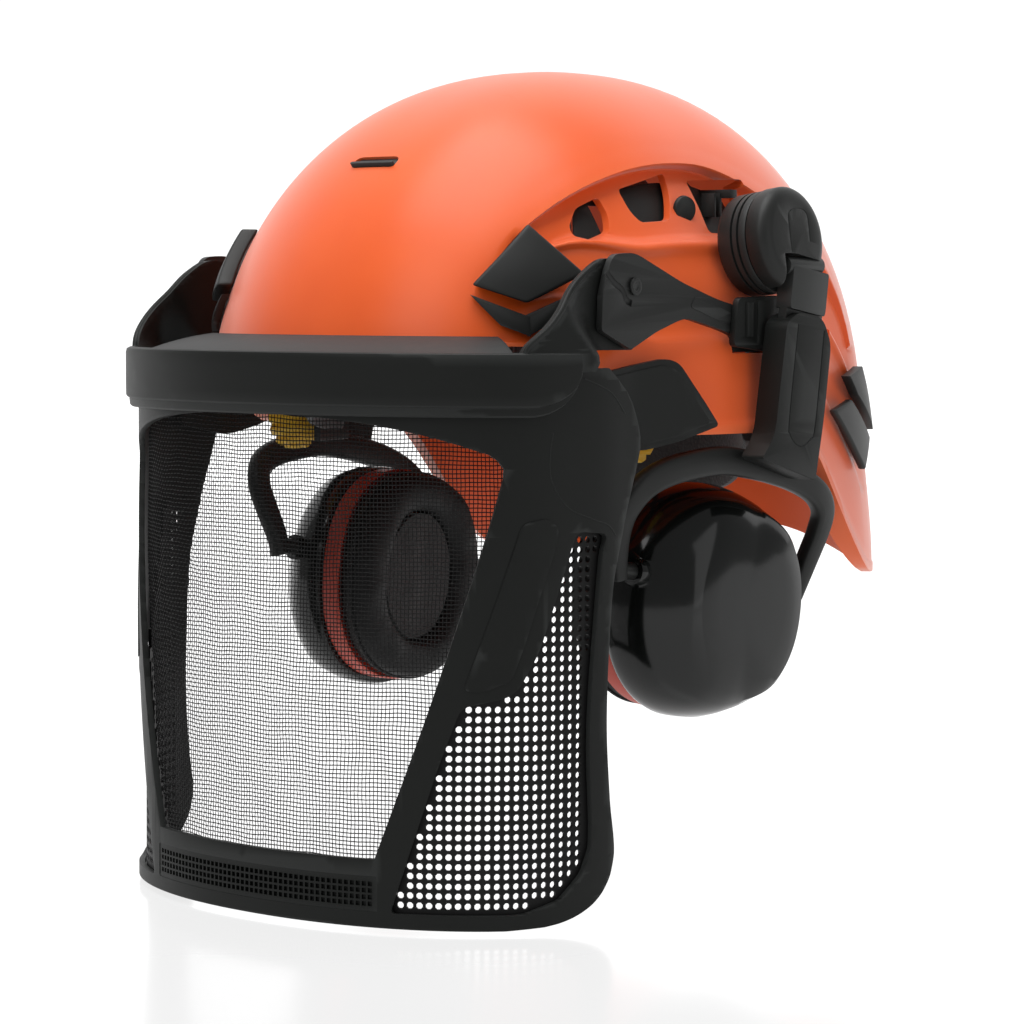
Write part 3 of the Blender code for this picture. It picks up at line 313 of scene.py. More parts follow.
SHELL = make_shell_paint()
# The lighter edge colours passed to moulded below are painted highlights along outward edges
BLACK = moulded(
    "black_plastic", (0.0115, 0.0122, 0.0116), 0.46, 0.42, 0.05, edge_highlight=(0.04, 0.042, 0.041),
    Specular_IOR_Level=0.28,
)
# Darker black of the visor frame. The side adaptor wears it as painted shade, for the shadow it sits in
# under the hub
FRAME_BLACK_AND_SHADE = moulded(
    "frame_plastic_and_shade", (0.006, 0.0068, 0.0061), 0.5, 0.36, 0.05, edge_highlight=(0.03, 0.032, 0.031),
    Specular_IOR_Level=0.2,
)
GLOSS = moulded("gloss_cup", (0.004, 0.0047, 0.0043), 0.14, 2.2, 0.006, Specular_IOR_Level=0.4)
RED = moulded("red_ring", (0.46, 0.034, 0.014), 0.44, 0.5, 0.04, edge_highlight=(0.55, 0.1, 0.05))
YELLOW = moulded("yellow_wheel", (0.86, 0.5, 0.015), 0.38, 0.6, 0.03, edge_highlight=(0.95, 0.7, 0.15))
SCREEN = moulded("black_mesh", (0.006, 0.006, 0.006), 0.55, 0.3, 0.02, Specular_IOR_Level=0.2)
RUBBER = moulded("seal_rubber", (0.02, 0.021, 0.021), 0.62, 0.8, 0.06)
FOAM = make_foam("soft_foam", (0.009, 0.009, 0.0095), 1.3)
SKIN = make_leatherette()
WEBBING = make_webbing()


# ---------------------------------------------------------------- helpers


def smooth(low, high, value):
    """0 below low, 1 above high, and an S curve between."""
    share = min(1.0, max(0.0, (value - low) / (high - low)))
    return share * share * (3.0 - 2.0 * share)


def blend(a, b, share):
    return a + (b - a) * share


def signed_power(value, power):
    """Power of the size of a value, with its sign kept."""
    return math.copysign(abs(value) ** power, value)


def spaced(low, high, count):
    """Both ends and the evenly spaced values between them, in count steps."""
    return [blend(low, high, i / count) for i in range(count + 1)]


def track(stations, value):
    """Reading of a list of (position, value) stations, rounded off at each station."""
    for k, ((p0, v0), (p1, v1)) in enumerate(zip(stations, stations[1:])):
        if value <= p1 or k == len(stations) - 2:
            t = min(1.0, max(0.0, (value - p0) / (p1 - p0)))
            before = stations[k - 1] if k else (2 * p0 - p1, 2 * v0 - v1)
            after = stations[k + 2] if k + 2 < len(stations) else (2 * p1 - p0, 2 * v1 - v0)
            width = p1 - p0
            m0 = width * slope(before, (p0, v0), (p1, v1))
            m1 = width * slope((p0, v0), (p1, v1), after)
            t2, t3 = t * t, t * t * t
            start = (2 * t3 - 3 * t2 + 1) * v0 + (t3 - 2 * t2 + t) * m0
            return start + (3 * t2 - 2 * t3) * v1 + (t3 - t2) * m1
    return stations[-1][1]


def slope(a, b, c):
    """Slope at b that never overshoots its neighbours."""
    first = (b[1] - a[1]) / (b[0] - a[0])
    second = (c[1] - b[1]) / (c[0] - b[0])
    if first * second <= 0.0:
        return 0.0
    return 2.0 * first * second / (first + second)


def curve_through(points, steps):
    """Smooth path through the points (Catmull-Rom)."""
    ends = [points[0] * 2 - points[1], *points, points[-1] * 2 - points[-2]]
    path = []
    for a, b, c, d in zip(ends, ends[1:], ends[2:], ends[3:]):
        for k in range(steps):
            t = k / steps
            bend = (a * 2 - b * 5 + c * 4 - d) * t * t
            path.append((b * 2 + (c - a) * t + bend + (b * 3 - a - c * 3 + d) * t ** 3) * 0.5)
    path.append(points[-1])
    return path


def in_scene(obj):
    """Puts an object in the scene."""
    bpy.context.scene.collection.objects.link(obj)


def new_object(name, bm, material, angle=35.0):
    """An object from a mesh drawn in millimetres."""
    bmesh.ops.recalc_face_normals(bm, faces=bm.faces)
    bmesh.ops.scale(bm, verts=bm.verts, vec=(MM, MM, MM))
    mesh = bpy.data.meshes.new(name)
    bm.to_mesh(mesh)
    bm.free()
    obj = bpy.data.objects.new(name, mesh)
    in_scene(obj)
    if material:
        mesh.materials.append(material)
    mesh.shade_smooth()
    mesh.set_sharp_from_angle(angle=math.radians(angle))
    return obj


def apply_modifiers(obj, angle=35.0):
    graph = bpy.context.evaluated_depsgraph_get()
    graph.update()
    mesh = bpy.data.meshes.new_from_object(obj.evaluated_get(graph))
    obj.modifiers.clear()
    obj.data = mesh
    mesh.shade_smooth()
    mesh.set_sharp_from_angle(angle=math.radians(angle))


def mirror_mesh(obj, name):
    """The same piece for the wearer's right."""
    mesh = obj.data.copy()
    mesh.transform(Matrix.Diagonal((-1.0, 1.0, 1.0, 1.0)))
    mesh.flip_normals()
    other = bpy.data.objects.new(name, mesh)
    in_scene(other)
    return other


def piece(
    name, bm, material, body, nodes=(), bevel=0.0, cuts=(), joins=(), angle=35.0, segments=2, sides=1
):
    """A finished piece of the object. With sides=2 it is drawn for the left and mirrored for the right.

    body and nodes take {s} where the side's name goes. Joins are added to the mesh before cuts are
    taken away, and the bevel, in millimetres, rounds the edges of what is left.
    """
    obj = new_object(name + ("_left" if sides == 2 else ""), bm, material, angle)
    helpers = []
    for operation, meshes in (("UNION", joins), ("DIFFERENCE", cuts)):
        for mesh in meshes:
            tool = new_object("tool", mesh, material)
            helpers.append(tool)
            boolean = obj.modifiers.new(operation.lower(), "BOOLEAN")
            boolean.operation = operation
            boolean.object = tool
            boolean.solver = "EXACT"
    if bevel:
        rounding = obj.modifiers.new("rounded_edges", "BEVEL")
        rounding.width = bevel * MM
        rounding.segments = segments
        rounding.limit_method = "ANGLE"
        rounding.angle_limit = math.radians(BEVEL_ANGLE)
        rounding.miter_outer = "MITER_ARC"
    apply_modifiers(obj, angle)
    for tool in helpers:
        bpy.data.objects.remove(tool, do_unlink=True)
    made = [obj]
    if sides == 2:
        made.append(mirror_mesh(obj, name + "_right"))
    for one, side in zip(made, ("left", "right")):
        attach(one, body.format(s=side))
        if nodes:
            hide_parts(*[node.format(s=side) for node in nodes])
    return made


def solid_from_grids(outer, inner, wrap=False, pole=False):
    """Closed solid between two grids of points, each a list of columns.

    With wrap, the last column joins the first. With pole, the first point of every column is shared.
    """
    bm = bmesh.new()
    columns = len(outer)
    rows = len(outer[0])
    cells = columns if wrap else columns - 1
    layers = [[[bm.verts.new(p) for p in column] for column in grid] for grid in (outer, inner)]
    kept = {(i, j) for i in range(cells) for j in range(rows - 1)}
    sides = (
        ((0, -1), (0, 0), (1, 0)),
        ((0, 1), (1, 1), (0, 1)),
        ((-1, 0), (0, 1), (0, 0)),
        ((1, 0), (1, 0), (1, 1)),
    )
    for i, j in sorted(kept):
        ids = [(a % columns, b) for a, b in ((i, j), (i + 1, j), (i + 1, j + 1), (i, j + 1))]
        bm.faces.new([layers[0][a][b] for a, b in ids])
        bm.faces.new([layers[1][a][b] for a, b in reversed(ids)])
        for (di, dj), start, end in sides:
            if pole and j == 0 and dj == -1:
                continue
            beside = ((i + di) % columns if wrap else i + di, j + dj)
            if beside in kept:
                continue
            a = ((i + start[0]) % columns, j + start[1])
            b = ((i + end[0]) % columns, j + end[1])
            bm.faces.new([layers[k][c[0]][c[1]] for k, c in ((0, a), (1, a), (1, b), (0, b))])
    bmesh.ops.delete(bm, geom=[v for v in bm.verts if not v.link_faces], context="VERTS")
    bmesh.ops.remove_doubles(bm, verts=bm.verts, dist=WELD)
    return bm


def layered(layers, columns, rows, point, **settings):
    """Closed solid between two grids whose points are point(layer, column, row)."""
    grids = [[[point(layer, a, b) for b in rows] for a in columns] for layer in layers]
    return solid_from_grids(*grids, **settings)


def loft(rings, closed=False):
    """Solid through rings with the same number of points, capped at both ends or closed on itself."""
    bm = bmesh.new()
    loops = [[bm.verts.new(p) for p in ring] for ring in rings]
    count = len(loops[0])
    following = loops[1:] + ([loops[0]] if closed else [])
    for low, high in zip(loops, following):
        for k in range(count):
            bm.faces.new((low[k], low[(k + 1) % count], high[(k + 1) % count], high[k]))
    if not closed:
        bm.faces.new(list(reversed(loops[0])))
        bm.faces.new(loops[-1])
    return bm


def sweep(path, section, turned=None):
    """Solid of one section, given as (sideways, up) points, along a path of vectors."""
    rings = []
    for k, point in enumerate(path):
        ahead = path[min(k + 1, len(path) - 1)] - path[max(k - 1, 0)]
        side = (turned or Vector((1.0, 0.0, 0.0))).cross(ahead).normalized()
        up = ahead.cross(side).normalized()
        shape = section(k / (len(path) - 1)) if callable(section) else section
        rings.append([point + up * a + side * b for a, b in shape])
    return loft(rings)


def rod(path, radius, sides=8):
    """Round bar along a path."""
    return sweep(path, [(radius * math.cos(a), radius * math.sin(a)) for a in turns(sides)])


def turns(count):
    """Angles evenly spaced round a full turn, in radians."""
    return [2.0 * math.pi * k / count for k in range(count)]


def flat_mesh(outlines):
    """Filled flat mesh in (u, v) from closed outlines, the first the rim and the rest holes."""
    curve = bpy.data.curves.new("outline", "CURVE")
    curve.dimensions = "2D"
    curve.fill_mode = "BOTH"
    for outline in outlines:
        spline = curve.splines.new("POLY")
        spline.points.add(len(outline) - 1)
        for point, (u, v) in zip(spline.points, outline):
            point.co = (u, v, 0.0, 1.0)
        spline.use_cyclic_u = True
    obj = bpy.data.objects.new("outline", curve)
    in_scene(obj)
    graph = bpy.context.evaluated_depsgraph_get()
    graph.update()
    mesh = bpy.data.meshes.new_from_object(obj.evaluated_get(graph))
    bpy.data.objects.remove(obj, do_unlink=True)
    bm = bmesh.new()
    bm.from_mesh(mesh)
    bpy.data.meshes.remove(mesh)
    bmesh.ops.remove_doubles(bm, verts=bm.verts, dist=WELD)
    return bm


def thicken(bm, place):
    """Closed solid from a flat mesh: place((u, v), layer) gives the points of layers 0 and 1."""
    solid = bmesh.new()
    layers = [{v: solid.verts.new(place((v.co.x, v.co.y), layer)) for v in bm.verts} for layer in (0, 1)]
    for face in bm.faces:
        solid.faces.new([layers[0][v] for v in face.verts])
        solid.faces.new([layers[1][v] for v in reversed(face.verts)])
    for edge in bm.edges:
        if len(edge.link_faces) == 1:
            a, b = edge.verts
            solid.faces.new((layers[0][a], layers[0][b], layers[1][b], layers[1][a]))
    bm.free()
    return solid


def plate_x(outlines, x0, x1):
    """Plate drawn in (Y, Z) between two X planes."""
    return thicken(flat_mesh(outlines), lambda p, layer: Vector(((x0, x1)[layer], p[0], p[1])))


def slice_mesh(bm, axis, positions):
    """Cuts edges into the mesh along planes across an axis, so that it can bend there."""
    for position in positions:
        cut = [0.0, 0.0, 0.0]
        cut[axis] = position
        normal = [0.0, 0.0, 0.0]
        normal[axis] = 1.0
        geometry = bm.verts[:] + bm.edges[:] + bm.faces[:]
        bmesh.ops.bisect_plane(bm, geom=geometry, plane_co=cut, plane_no=normal, dist=1e-5)
    return bm


def circle(centre, radius, sides=24):
    return [(centre[0] + radius * math.cos(a), centre[1] + radius * math.sin(a)) for a in turns(sides)]


def rounded(corners, radius, steps=5):
    """The outline with each corner turned into a short arc. A corner may carry its own radius."""
    outline = []
    count = len(corners)
    for k, corner in enumerate(corners):
        here = Vector(corner[:2])
        back = Vector(corners[k - 1][:2]) - here
        forth = Vector(corners[(k + 1) % count][:2]) - here
        wanted = corner[2] if len(corner) > 2 else radius
        reach = min(wanted, back.length * 0.48, forth.length * 0.48)
        start = here + back.normalized() * reach
        end = here + forth.normalized() * reach
        for s in range(steps + 1):
            t = s / steps
            point = start * (1 - t) ** 2 + here * 2 * t * (1 - t) + end * t ** 2
            outline.append((point.x, point.y))
    return outline


def box(low, high):
    bm = bmesh.new()
    low, high = Vector(low), Vector(high)
    matrix = Matrix.Translation((low + high) / 2.0) @ Matrix.Diagonal((*(high - low), 1.0))
    bmesh.ops.create_cube(bm, size=1.0, matrix=matrix)
    return bm


def cylinder(start, end, radius, sides=32, end_radius=None):
    start, end = Vector(start), Vector(end)
    bm = bmesh.new()
    turn = (end - start).to_track_quat("Z", "Y").to_matrix().to_4x4()
    bmesh.ops.create_cone(
        bm, cap_ends=True, segments=sides, radius1=radius,
        radius2=radius if end_radius is None else end_radius,
        depth=(end - start).length, matrix=Matrix.Translation((start + end) / 2.0) @ turn,
    )
    return bm


def oval(half_width, half_height, count, power):
    """Points of a superellipse."""
    points = []
    for angle in turns(count):
        y = half_width * signed_power(math.cos(angle), 2.0 / power)
        z = half_height * signed_power(math.sin(angle), 2.0 / power)
        points.append((y, z))
    return points


# ---------------------------------------------------------------- shell


def plan_direction(azimuth):
    """Unit superellipse point seen at this azimuth, in degrees from the front."""
    angle = math.radians(azimuth)
    length = SHELL_FRONT if math.cos(angle) >= 0.0 else SHELL_REAR
    x = math.sin(angle) / SHELL_HALF_WIDTH
    y = math.cos(angle) / length
    reach = (abs(x) ** PLAN_POWER + abs(y) ** PLAN_POWER) ** (-1.0 / PLAN_POWER)
    return x * reach, -y * reach


def dome(azimuth, z, out=0.0):
    """Point of the plain dome at an azimuth and height, pushed outwards by out."""
    x, y = plan_direction(azimuth)
    rise = min(1.0, max(0.0, (z - SHELL_EQUATOR) / (SHELL_TOP + out - SHELL_EQUATOR)))
    width = (1.0 - rise ** SIDE_POWER) ** (1.0 / SIDE_POWER)
    length = SHELL_FRONT if y <= 0.0 else SHELL_REAR
    return Vector((x * (SHELL_HALF_WIDTH + out) * width, WIDEST_Y + y * (length + out) * width, z))


def rim_height(azimuth):
    """Height of the lower rim: high at the brow, lower at the ears and lowest at the nape."""
    side = blend(FRONT_RIM_Z, SIDE_RIM_Z, smooth(38.0, 60.0, azimuth))
    ear = blend(side, NAPE_RIM_Z, smooth(98.0, 132.0, azimuth))
    return ear + NAPE_ARCH * smooth(142.0, 178.0, azimuth)


def arch_height(azimuth):
    """Height of the arch. Clear of the recess it runs a little above the rim."""
    span, power = (ARCH_FRONT_SPAN, 2.5) if azimuth < ARCH_AZIMUTH else (ARCH_REAR_SPAN, 2.0)
    across = min(1.0, abs(azimuth - ARCH_AZIMUTH) / span)
    height = ARCH_FOOT + ARCH_RISE * (1.0 - across ** power) ** (1.0 / power)
    return max(height, rim_height(azimuth) + 9.0)


def recess_depth(azimuth):
    return RECESS_DEPTH * smooth(29.0, 42.0, azimuth) * smooth(134.0, 116.0, azimuth)


def nape_flare(azimuth, z):
    return NAPE_FLARE * smooth(104.0, 135.0, azimuth) * smooth(-5.0, -80.0, z)


# Share of the way from the arch down to the rim, and share of the recess depth there
RECESS_PROFILE = (
    (0.0, -0.05), (0.004, 0.02), (0.009, 0.2), (0.014, 0.6), (0.019, 0.88), (0.026, 0.98), (0.04, 1.0),
    (0.09, 1.0), (0.16, 1.0), (0.23, 1.0), (0.258, 0.98), (0.27, 0.9), (0.28, 0.7), (0.288, 0.5),
    (0.296, 0.4), (0.305, 0.38), (0.315, 0.42), (0.327, 0.53), (0.34, 0.66), (0.355, 0.72), (0.4, 0.73),
    (0.48, 0.72), (0.56, 0.7), (0.61, 0.67), (0.626, 0.62), (0.64, 0.48), (0.652, 0.34), (0.664, 0.27),
    (0.69, 0.24), (0.76, 0.22), (0.84, 0.19), (0.9, 0.15), (0.94, 0.1), (0.957, 0.02), (0.966, -0.02),
    (1.0, -0.02),
)
CROWN_ROWS = 26


def shell_column(azimuth, inset):
    """Points from the crown down to the rim, on the outer face or inset by the wall."""
    side = abs(azimuth) if abs(azimuth) <= 180.0 else 360.0 - abs(azimuth)
    arch = arch_height(side)
    rim = rim_height(side)
    share_at_arch = ((arch - SHELL_EQUATOR) / (SHELL_TOP - SHELL_EQUATOR)) ** (SIDE_POWER / 2.0)
    arch_angle = math.acos(min(1.0, share_at_arch))
    column = []
    for k in range(CROWN_ROWS):
        lift = math.cos(arch_angle * k / CROWN_ROWS) ** (2.0 / SIDE_POWER)
        lip = 0.9 * smooth(0.93, 1.0, k / CROWN_ROWS) * recess_depth(side) / RECESS_DEPTH
        z = SHELL_EQUATOR + (SHELL_TOP - inset - SHELL_EQUATOR) * lift
        column.append(dome(azimuth, z, lip - inset))
    for share, depth in RECESS_PROFILE:
        z = blend(arch, rim, share)
        back = recess_depth(side) * (1.0 if inset else depth)
        bead = 0.0 if inset else 0.5 * smooth(0.955, 0.966, share)
        column.append(dome(azimuth, z, nape_flare(side, z) + bead - back - inset))
    return column


# Vent holes of the recess, as (Y, Z) corners
VENTS = (
    (
        (-66.5, 67.8), (-60.0, 75.6), (-47.4, 80.6), (-46.8, 73.0), (-49.6, 66.0), (-60.4, 62.2),
        (-66.0, 63.2),
    ),
    ((-35.8, 84.0), (-4.0, 91.8), (-8.0, 82.0), (-14.6, 71.6), (-31.6, 70.4), (-35.0, 75.0)),
    ((8.0, 89.0), (38.0, 90.5), (37.0, 76.0), (32.0, 67.0), (8.0, 67.0)),
    ((50, 82), (64, 73), (58, 62), (49, 64)),
    ((76, 46), (84, 42), (80, 22), (75, 22)),
)
PLUG_PLACE = (74.9, 76.6)
SLOT_CENTRE = Vector((0.0, -97.0, 96.0))
SLOT_SLOPE = Vector((0.0, -0.62, 0.78))


def slot_plate(half_width, half_height, depth, centre):
    """Round-ended plate lying along the brow slot."""
    turn = Matrix.Translation(centre) @ SLOT_SLOPE.to_track_quat("Z", "Y").to_matrix().to_4x4()
    corners = [(a * half_width, b * half_height) for a, b in ((-1, -1), (1, -1), (1, 1), (-1, 1))]
    flat = flat_mesh([rounded(corners, half_height * 0.9, 3)])
    return thicken(flat, lambda p, layer: turn @ Vector((p[0], p[1], depth * (layer - 0.5))))


def plug_seat(side):
    """Where a side plug sits on the recess, and which way it faces."""
    seat = dome(side * PLUG_PLACE[0], PLUG_PLACE[1], -RECESS_DEPTH)
    return seat, (dome(side * PLUG_PLACE[0], PLUG_PLACE[1], 0.0) - seat).normalized()


def shell_azimuths():
    """Directions of the shell's columns, closest together where the arch is steepest."""
    start, end = ARCH_AZIMUTH - ARCH_FRONT_SPAN, ARCH_AZIMUTH + ARCH_REAR_SPAN
    half = [start * k / 8 for k in range(8)]
    half += [ARCH_AZIMUTH - ARCH_FRONT_SPAN * math.sin(math.radians(90.0 - 3.75 * k)) for k in range(24)]
    half += [ARCH_AZIMUTH + ARCH_REAR_SPAN * math.sin(math.radians(4.0 * k)) for k in range(22)]
    half += [blend(end, 180.0, k / 20) for k in range(20)]
    return half + [180.0] + [360.0 - a for a in reversed(half[1:])]


def make_shell():
    outer, inner = [[shell_column(a, inset) for a in shell_azimuths()] for inset in (0.0, SHELL_WALL)]
    cuts = [slot_plate(12.0, 3.2, 16.0, SLOT_CENTRE)]
    for side in (1, -1):
        for vent in VENTS:
            cuts.append(plate_x([rounded(vent, 2.4, 4)], side * 66.0, side * 126.0))
        seat, outward = plug_seat(side)
        cuts.append(cylinder(seat - outward * 14.0, seat + outward * 14.0, 3.4, 24))
        # Slot that takes the side adaptor
        low = (min(side * 100.0, side * 125.0), -1.0, 17.0)
        cuts.append(box(low, (low[0] + 25.0, 21.0, 33.0)))
    shell = solid_from_grids(outer, inner, wrap=True, pole=True)
    piece("helmet_shell", shell, SHELL, "helmet", ["shell"], cuts=cuts, angle=50.0)
    across = Vector((0.0, -0.78, -0.62))
    blade = slot_plate(11.7, 0.7, 4.0, SLOT_CENTRE + across * 1.9 - SLOT_SLOPE * 2.0)
    back = slot_plate(11.7, 2.9, 2.4, SLOT_CENTRE - SLOT_SLOPE * 3.4)
    piece("brow_louvre", back, BLACK, "helmet", ["front_vent_insert"], joins=[blade], bevel=0.2)


# ---------------------------------------------------------------- visor wall


def visor_point(u, z, out=0.0):
    """Point of the visor wall. u is in degrees from the front, and runs straight back past 90."""
    turn = math.radians(max(-90.0, min(90.0, u)))
    x = (VISOR_HALF_WIDTH + out) * signed_power(math.sin(turn), 2.0 / VISOR_POWER)
    y = -(VISOR_DEPTH + out) * abs(math.cos(turn)) ** (2.0 / VISOR_POWER)
    straight = max(0.0, abs(u) - 90.0) * math.radians(VISOR_DEPTH)
    return Vector((x, VISOR_CENTRE_Y + y + straight, z))


WALL_STEPS = [k * 0.25 for k in range(441)]
WALL_LENGTHS = [0.0]
for low, high in zip(WALL_STEPS, WALL_STEPS[1:]):
    WALL_LENGTHS.append(WALL_LENGTHS[-1] + (visor_point(high, 0.0) - visor_point(low, 0.0)).length)


def wall_length(u):
    """Distance along the wall from the middle of the visor to the angle u."""
    return math.copysign(float(np.interp(abs(u), WALL_STEPS, WALL_LENGTHS)), u)


def wall_point(s, z, out=0.0):
    """Point of the visor wall at a distance s along it."""
    return visor_point(math.copysign(float(np.interp(abs(s), WALL_LENGTHS, WALL_STEPS)), s), z, out)


def window_top(u):
    """Height of the screen window's upper edge at an angle from the front."""
    return -6.8 - 14.5 * (min(abs(u), 60.0) / 53.0) ** 2.2


# Edges drawn as (height, angle from the front)
REAR_EDGE = (
    (-207.0, 58.0), (-206.4, 66.0), (-204.8, 72.5), (-202.0, 78.0), (-198.4, 82.3), (-194.0, 85.4),
    (-187.5, 87.9), (-178.8, 89.0), (-158.5, 87.4), (-126.5, 86.1), (-79.2, 87.6), (-48.0, 92.2),
    (-28.5, 96.7), (-18.0, 98.6), (-2.0, 95.0), (12.0, 86.0),
)
PANEL_REAR = (
    (-201.0, 62.0), (-196.0, 72.0), (-188.0, 78.0), (-174.0, 81.5), (-135.0, 80.5), (-80.0, 83.0),
    (-52.0, 85.0),
)
SCREEN_EDGE = (
    (-180.0, 28.6), (-152.0, 34.1), (-118.0, 40.8), (-85.0, 47.1), (-56.0, 52.6), (-40.0, 55.5),
    (-30.0, 57.2),
)
# Corners of the perforated panel's window, as (angle, height, corner radius)
PANEL_FRONT = (
    (32.0, -201.0, 3.0), (42.6, -142.0, 2.0), (47.4, -119.5, 4.0), (60.0, -115.0, 6.0),
    (66.0, -98.0, 5.0), (76.0, -51.5, 4.0), (86.0, -53.0, 4.0),
)
CHIN_ROWS = (-186.6, -200.6)
CHIN_ENDS = (-29.2, 29.2)


def edge_points(stations, low, high, count):
    """Points of an edge between two heights, as (distance along the wall, height)."""
    return [(wall_length(track(stations, z)), z) for z in spaced(low, high, count)]


def frame_outline():
    right = edge_points(REAR_EDGE, -207.0, -176.0, 34) + edge_points(REAR_EDGE, -172.0, 12.0, 40)
    return [(-s, z) for s, z in reversed(right)][:-1] + right


def screen_window():
    right = edge_points(SCREEN_EDGE, -180.0, -31.0, 20)
    arch = [(wall_length(u), window_top(u)) for u in spaced(51.0, -51.0, 24)]
    corner = [(wall_length(u), z) for u, z in ((57.2, -27.0), (55.6, -23.6), (53.6, -21.4))]
    left = [(-s, z) for s, z in reversed(right + corner)]
    return right + corner + arch + left


def side_window():
    """Outline of the perforated panel's window on the left."""
    corners = [(wall_length(u), z, radius) for u, z, radius in PANEL_FRONT]
    corners += [(s, z, 2.0) for s, z in reversed(edge_points(PANEL_REAR, -196.0, -60.0, 14))]
    corners.append((wall_length(62.0), -201.0, 4.0))
    return rounded(corners, 3.0, 4)


def chin_window():
    start, end = [wall_length(u) for u in CHIN_ENDS]
    high, low = CHIN_ROWS
    return rounded(((start, low), (end, low), (end, high), (start, high)), 0.8, 2)


def on_wall(flat, out_high, out_low, step=2.6):
    """Solid on the visor wall from a flat drawing in (distance along the wall, height)."""
    reach = max(abs(v.co.x) for v in flat.verts)
    slice_mesh(flat, 0, [k * step for k in range(-int(reach / step), int(reach / step) + 1)])
    slice_mesh(flat, 1, [-190.0 + 25.0 * k for k in range(8)])
    outs = (out_high, out_low)
    return thicken(flat, lambda p, layer: wall_point(p[0], p[1], outs[layer]))


# Moulded lines of the frame, as (height, angle)
CREASES = (
    ((8.0, 78.0), (4.8, 83.6), (1.3, 87.6), (-6.1, 91.9)),
    (
        (-12.8, 69.2), (-21.6, 68.5), (-31.7, 69.0), (-41.9, 73.4), (-46.6, 80.5), (-49.5, 86.0),
        (-54.0, 88.8),
    ),
)
PANEL_LINE = (
    (-48.0, 61.5), (-60.0, 59.0), (-80.0, 54.9), (-98.0, 51.0), (-113.0, 47.8), (-113.5, 52.0),
    (-109.0, 59.0), (-96.0, 62.0), (-78.0, 65.6), (-58.0, 69.9), (-50.0, 71.0), (-46.0, 68.0),
)


def raised_panel(side):
    """Low panel on the strip of frame between the screen and the perforated sheet."""
    outline = rounded([(side * wall_length(u), z) for z, u in PANEL_LINE], 3.0, 3)
    return on_wall(flat_mesh([outline]), 0.45, -0.8)


def make_frame():
    window = side_window()
    far_window = [(-s, z) for s, z in window]
    flat = flat_mesh([frame_outline(), screen_window(), window, far_window, chin_window()])
    frame_body = on_wall(flat, 0.0, -FRAME_WALL)
    piece("visor_side_frame", frame_body, FRAME_BLACK_AND_SHADE, "visor", ["visor_frame"], bevel=0.55, angle=32.0)
    beads = []
    for side in (1, -1):
        for crease in CREASES:
            path = curve_through([Vector((side * wall_length(u), z, 0.0)) for z, u in crease], 6)
            beads.append(rod([wall_point(p.x, p.y, -0.12) for p in path], 0.3, 8))
    piece("frame_creases", beads[0], FRAME_BLACK_AND_SHADE, "visor", joins=beads[1:])
    panel, far_panel = raised_panel(1), raised_panel(-1)
    piece("frame_panels", panel, FRAME_BLACK_AND_SHADE, "visor", joins=[far_panel], bevel=0.3)


def inside(outline, s, z):
    """Whether a point lies within a closed outline."""
    hit = False
    for (s0, z0), (s1, z1) in zip(outline, outline[1:] + outline[:1]):
        if (z0 > z) != (z1 > z) and s < s0 + (z - z0) * (s1 - s0) / (z1 - z0):
            hit = not hit
    return hit


def perforated(outline, margin, pitch, radius, out_high, out_low, corners=8):
    """Sheet on the visor wall with a grid of holes wherever they fit in the outline.

    pitch is (along the wall, upwards), and the sheet reaches past the outline by the margin.
    """
    low_s, high_s = min(p[0] for p in outline) - margin, max(p[0] for p in outline) + margin
    low_z, high_z = min(p[1] for p in outline) - margin, max(p[1] for p in outline) + margin
    columns = max(1, round((high_s - low_s) / pitch[0]))
    rows = max(1, round((high_z - low_z) / pitch[1]))
    pitch_s, pitch_z = (high_s - low_s) / columns, (high_z - low_z) / rows
    angles = [2.0 * math.pi * (k + 0.5) / corners for k in range(corners)]
    ring = [(radius * math.cos(a), radius * math.sin(a)) for a in angles]
    grid = {}
    flat = bmesh.new()

    def corner(i, j):
        if (i, j) not in grid:
            grid[i, j] = flat.verts.new((low_s + i * pitch_s, low_z + j * pitch_z, 0.0))
        return grid[i, j]

    for i in range(columns):
        for j in range(rows):
            s, z = low_s + (i + 0.5) * pitch_s, low_z + (j + 0.5) * pitch_z
            around = [(s + a * margin, z + b * margin) for a in (-1, 0, 1) for b in (-1, 0, 1)]
            if not any(inside(outline, *p) for p in around):
                continue
            square = [corner(i + 1, j + 1), corner(i, j + 1), corner(i, j), corner(i + 1, j)]
            reach = [(s + a * radius * 0.8, z + b * radius * 0.8) for a in (-1, 1) for b in (-1, 1)]
            if not all(inside(outline, *p) for p in reach):
                flat.faces.new(square)
                continue
            hole = [flat.verts.new((s + a, z + b, 0.0)) for a, b in ring]
            per_side = corners // 4
            for k in range(4):
                first = [hole[(k * per_side + m) % corners] for m in range(per_side)]
                after = hole[((k + 1) * per_side) % corners]
                if per_side > 1:
                    flat.faces.new([square[k], *reversed(first)])
                flat.faces.new([square[k], first[-1], after, square[(k + 1) % 4]])
    return thicken(flat, lambda p, layer: wall_point(p[0], p[1], (out_high, out_low)[layer]))


def make_perforated_sheets():
    back = -FRAME_WALL - 0.6
    pitch = (HOLE_PITCH, HOLE_PITCH)
    panel = perforated(side_window(), 2.6, pitch, HOLE_RADIUS, back, back - 1.5)
    piece("perforated_panel", panel, SCREEN, "visor", ["side_panel_{s}"], angle=50.0, sides=2)
    strip = perforated(chin_window(), 0.9, (2.6, 2.8), 1.28, -0.25, -1.5, corners=4)
    piece("chin_grille", strip, FRAME_BLACK_AND_SHADE, "visor", angle=50.0)
    low_s, high_s = [wall_length(u) for u in CHIN_ENDS]
    high_z, low_z = CHIN_ROWS
    sheet = flat_mesh([((low_s, low_z), (high_s, low_z), (high_s, high_z), (low_s, high_z))])
    piece("chin_backing", on_wall(sheet, -1.6, -2.3), FRAME_BLACK_AND_SHADE, "visor", angle=50.0)


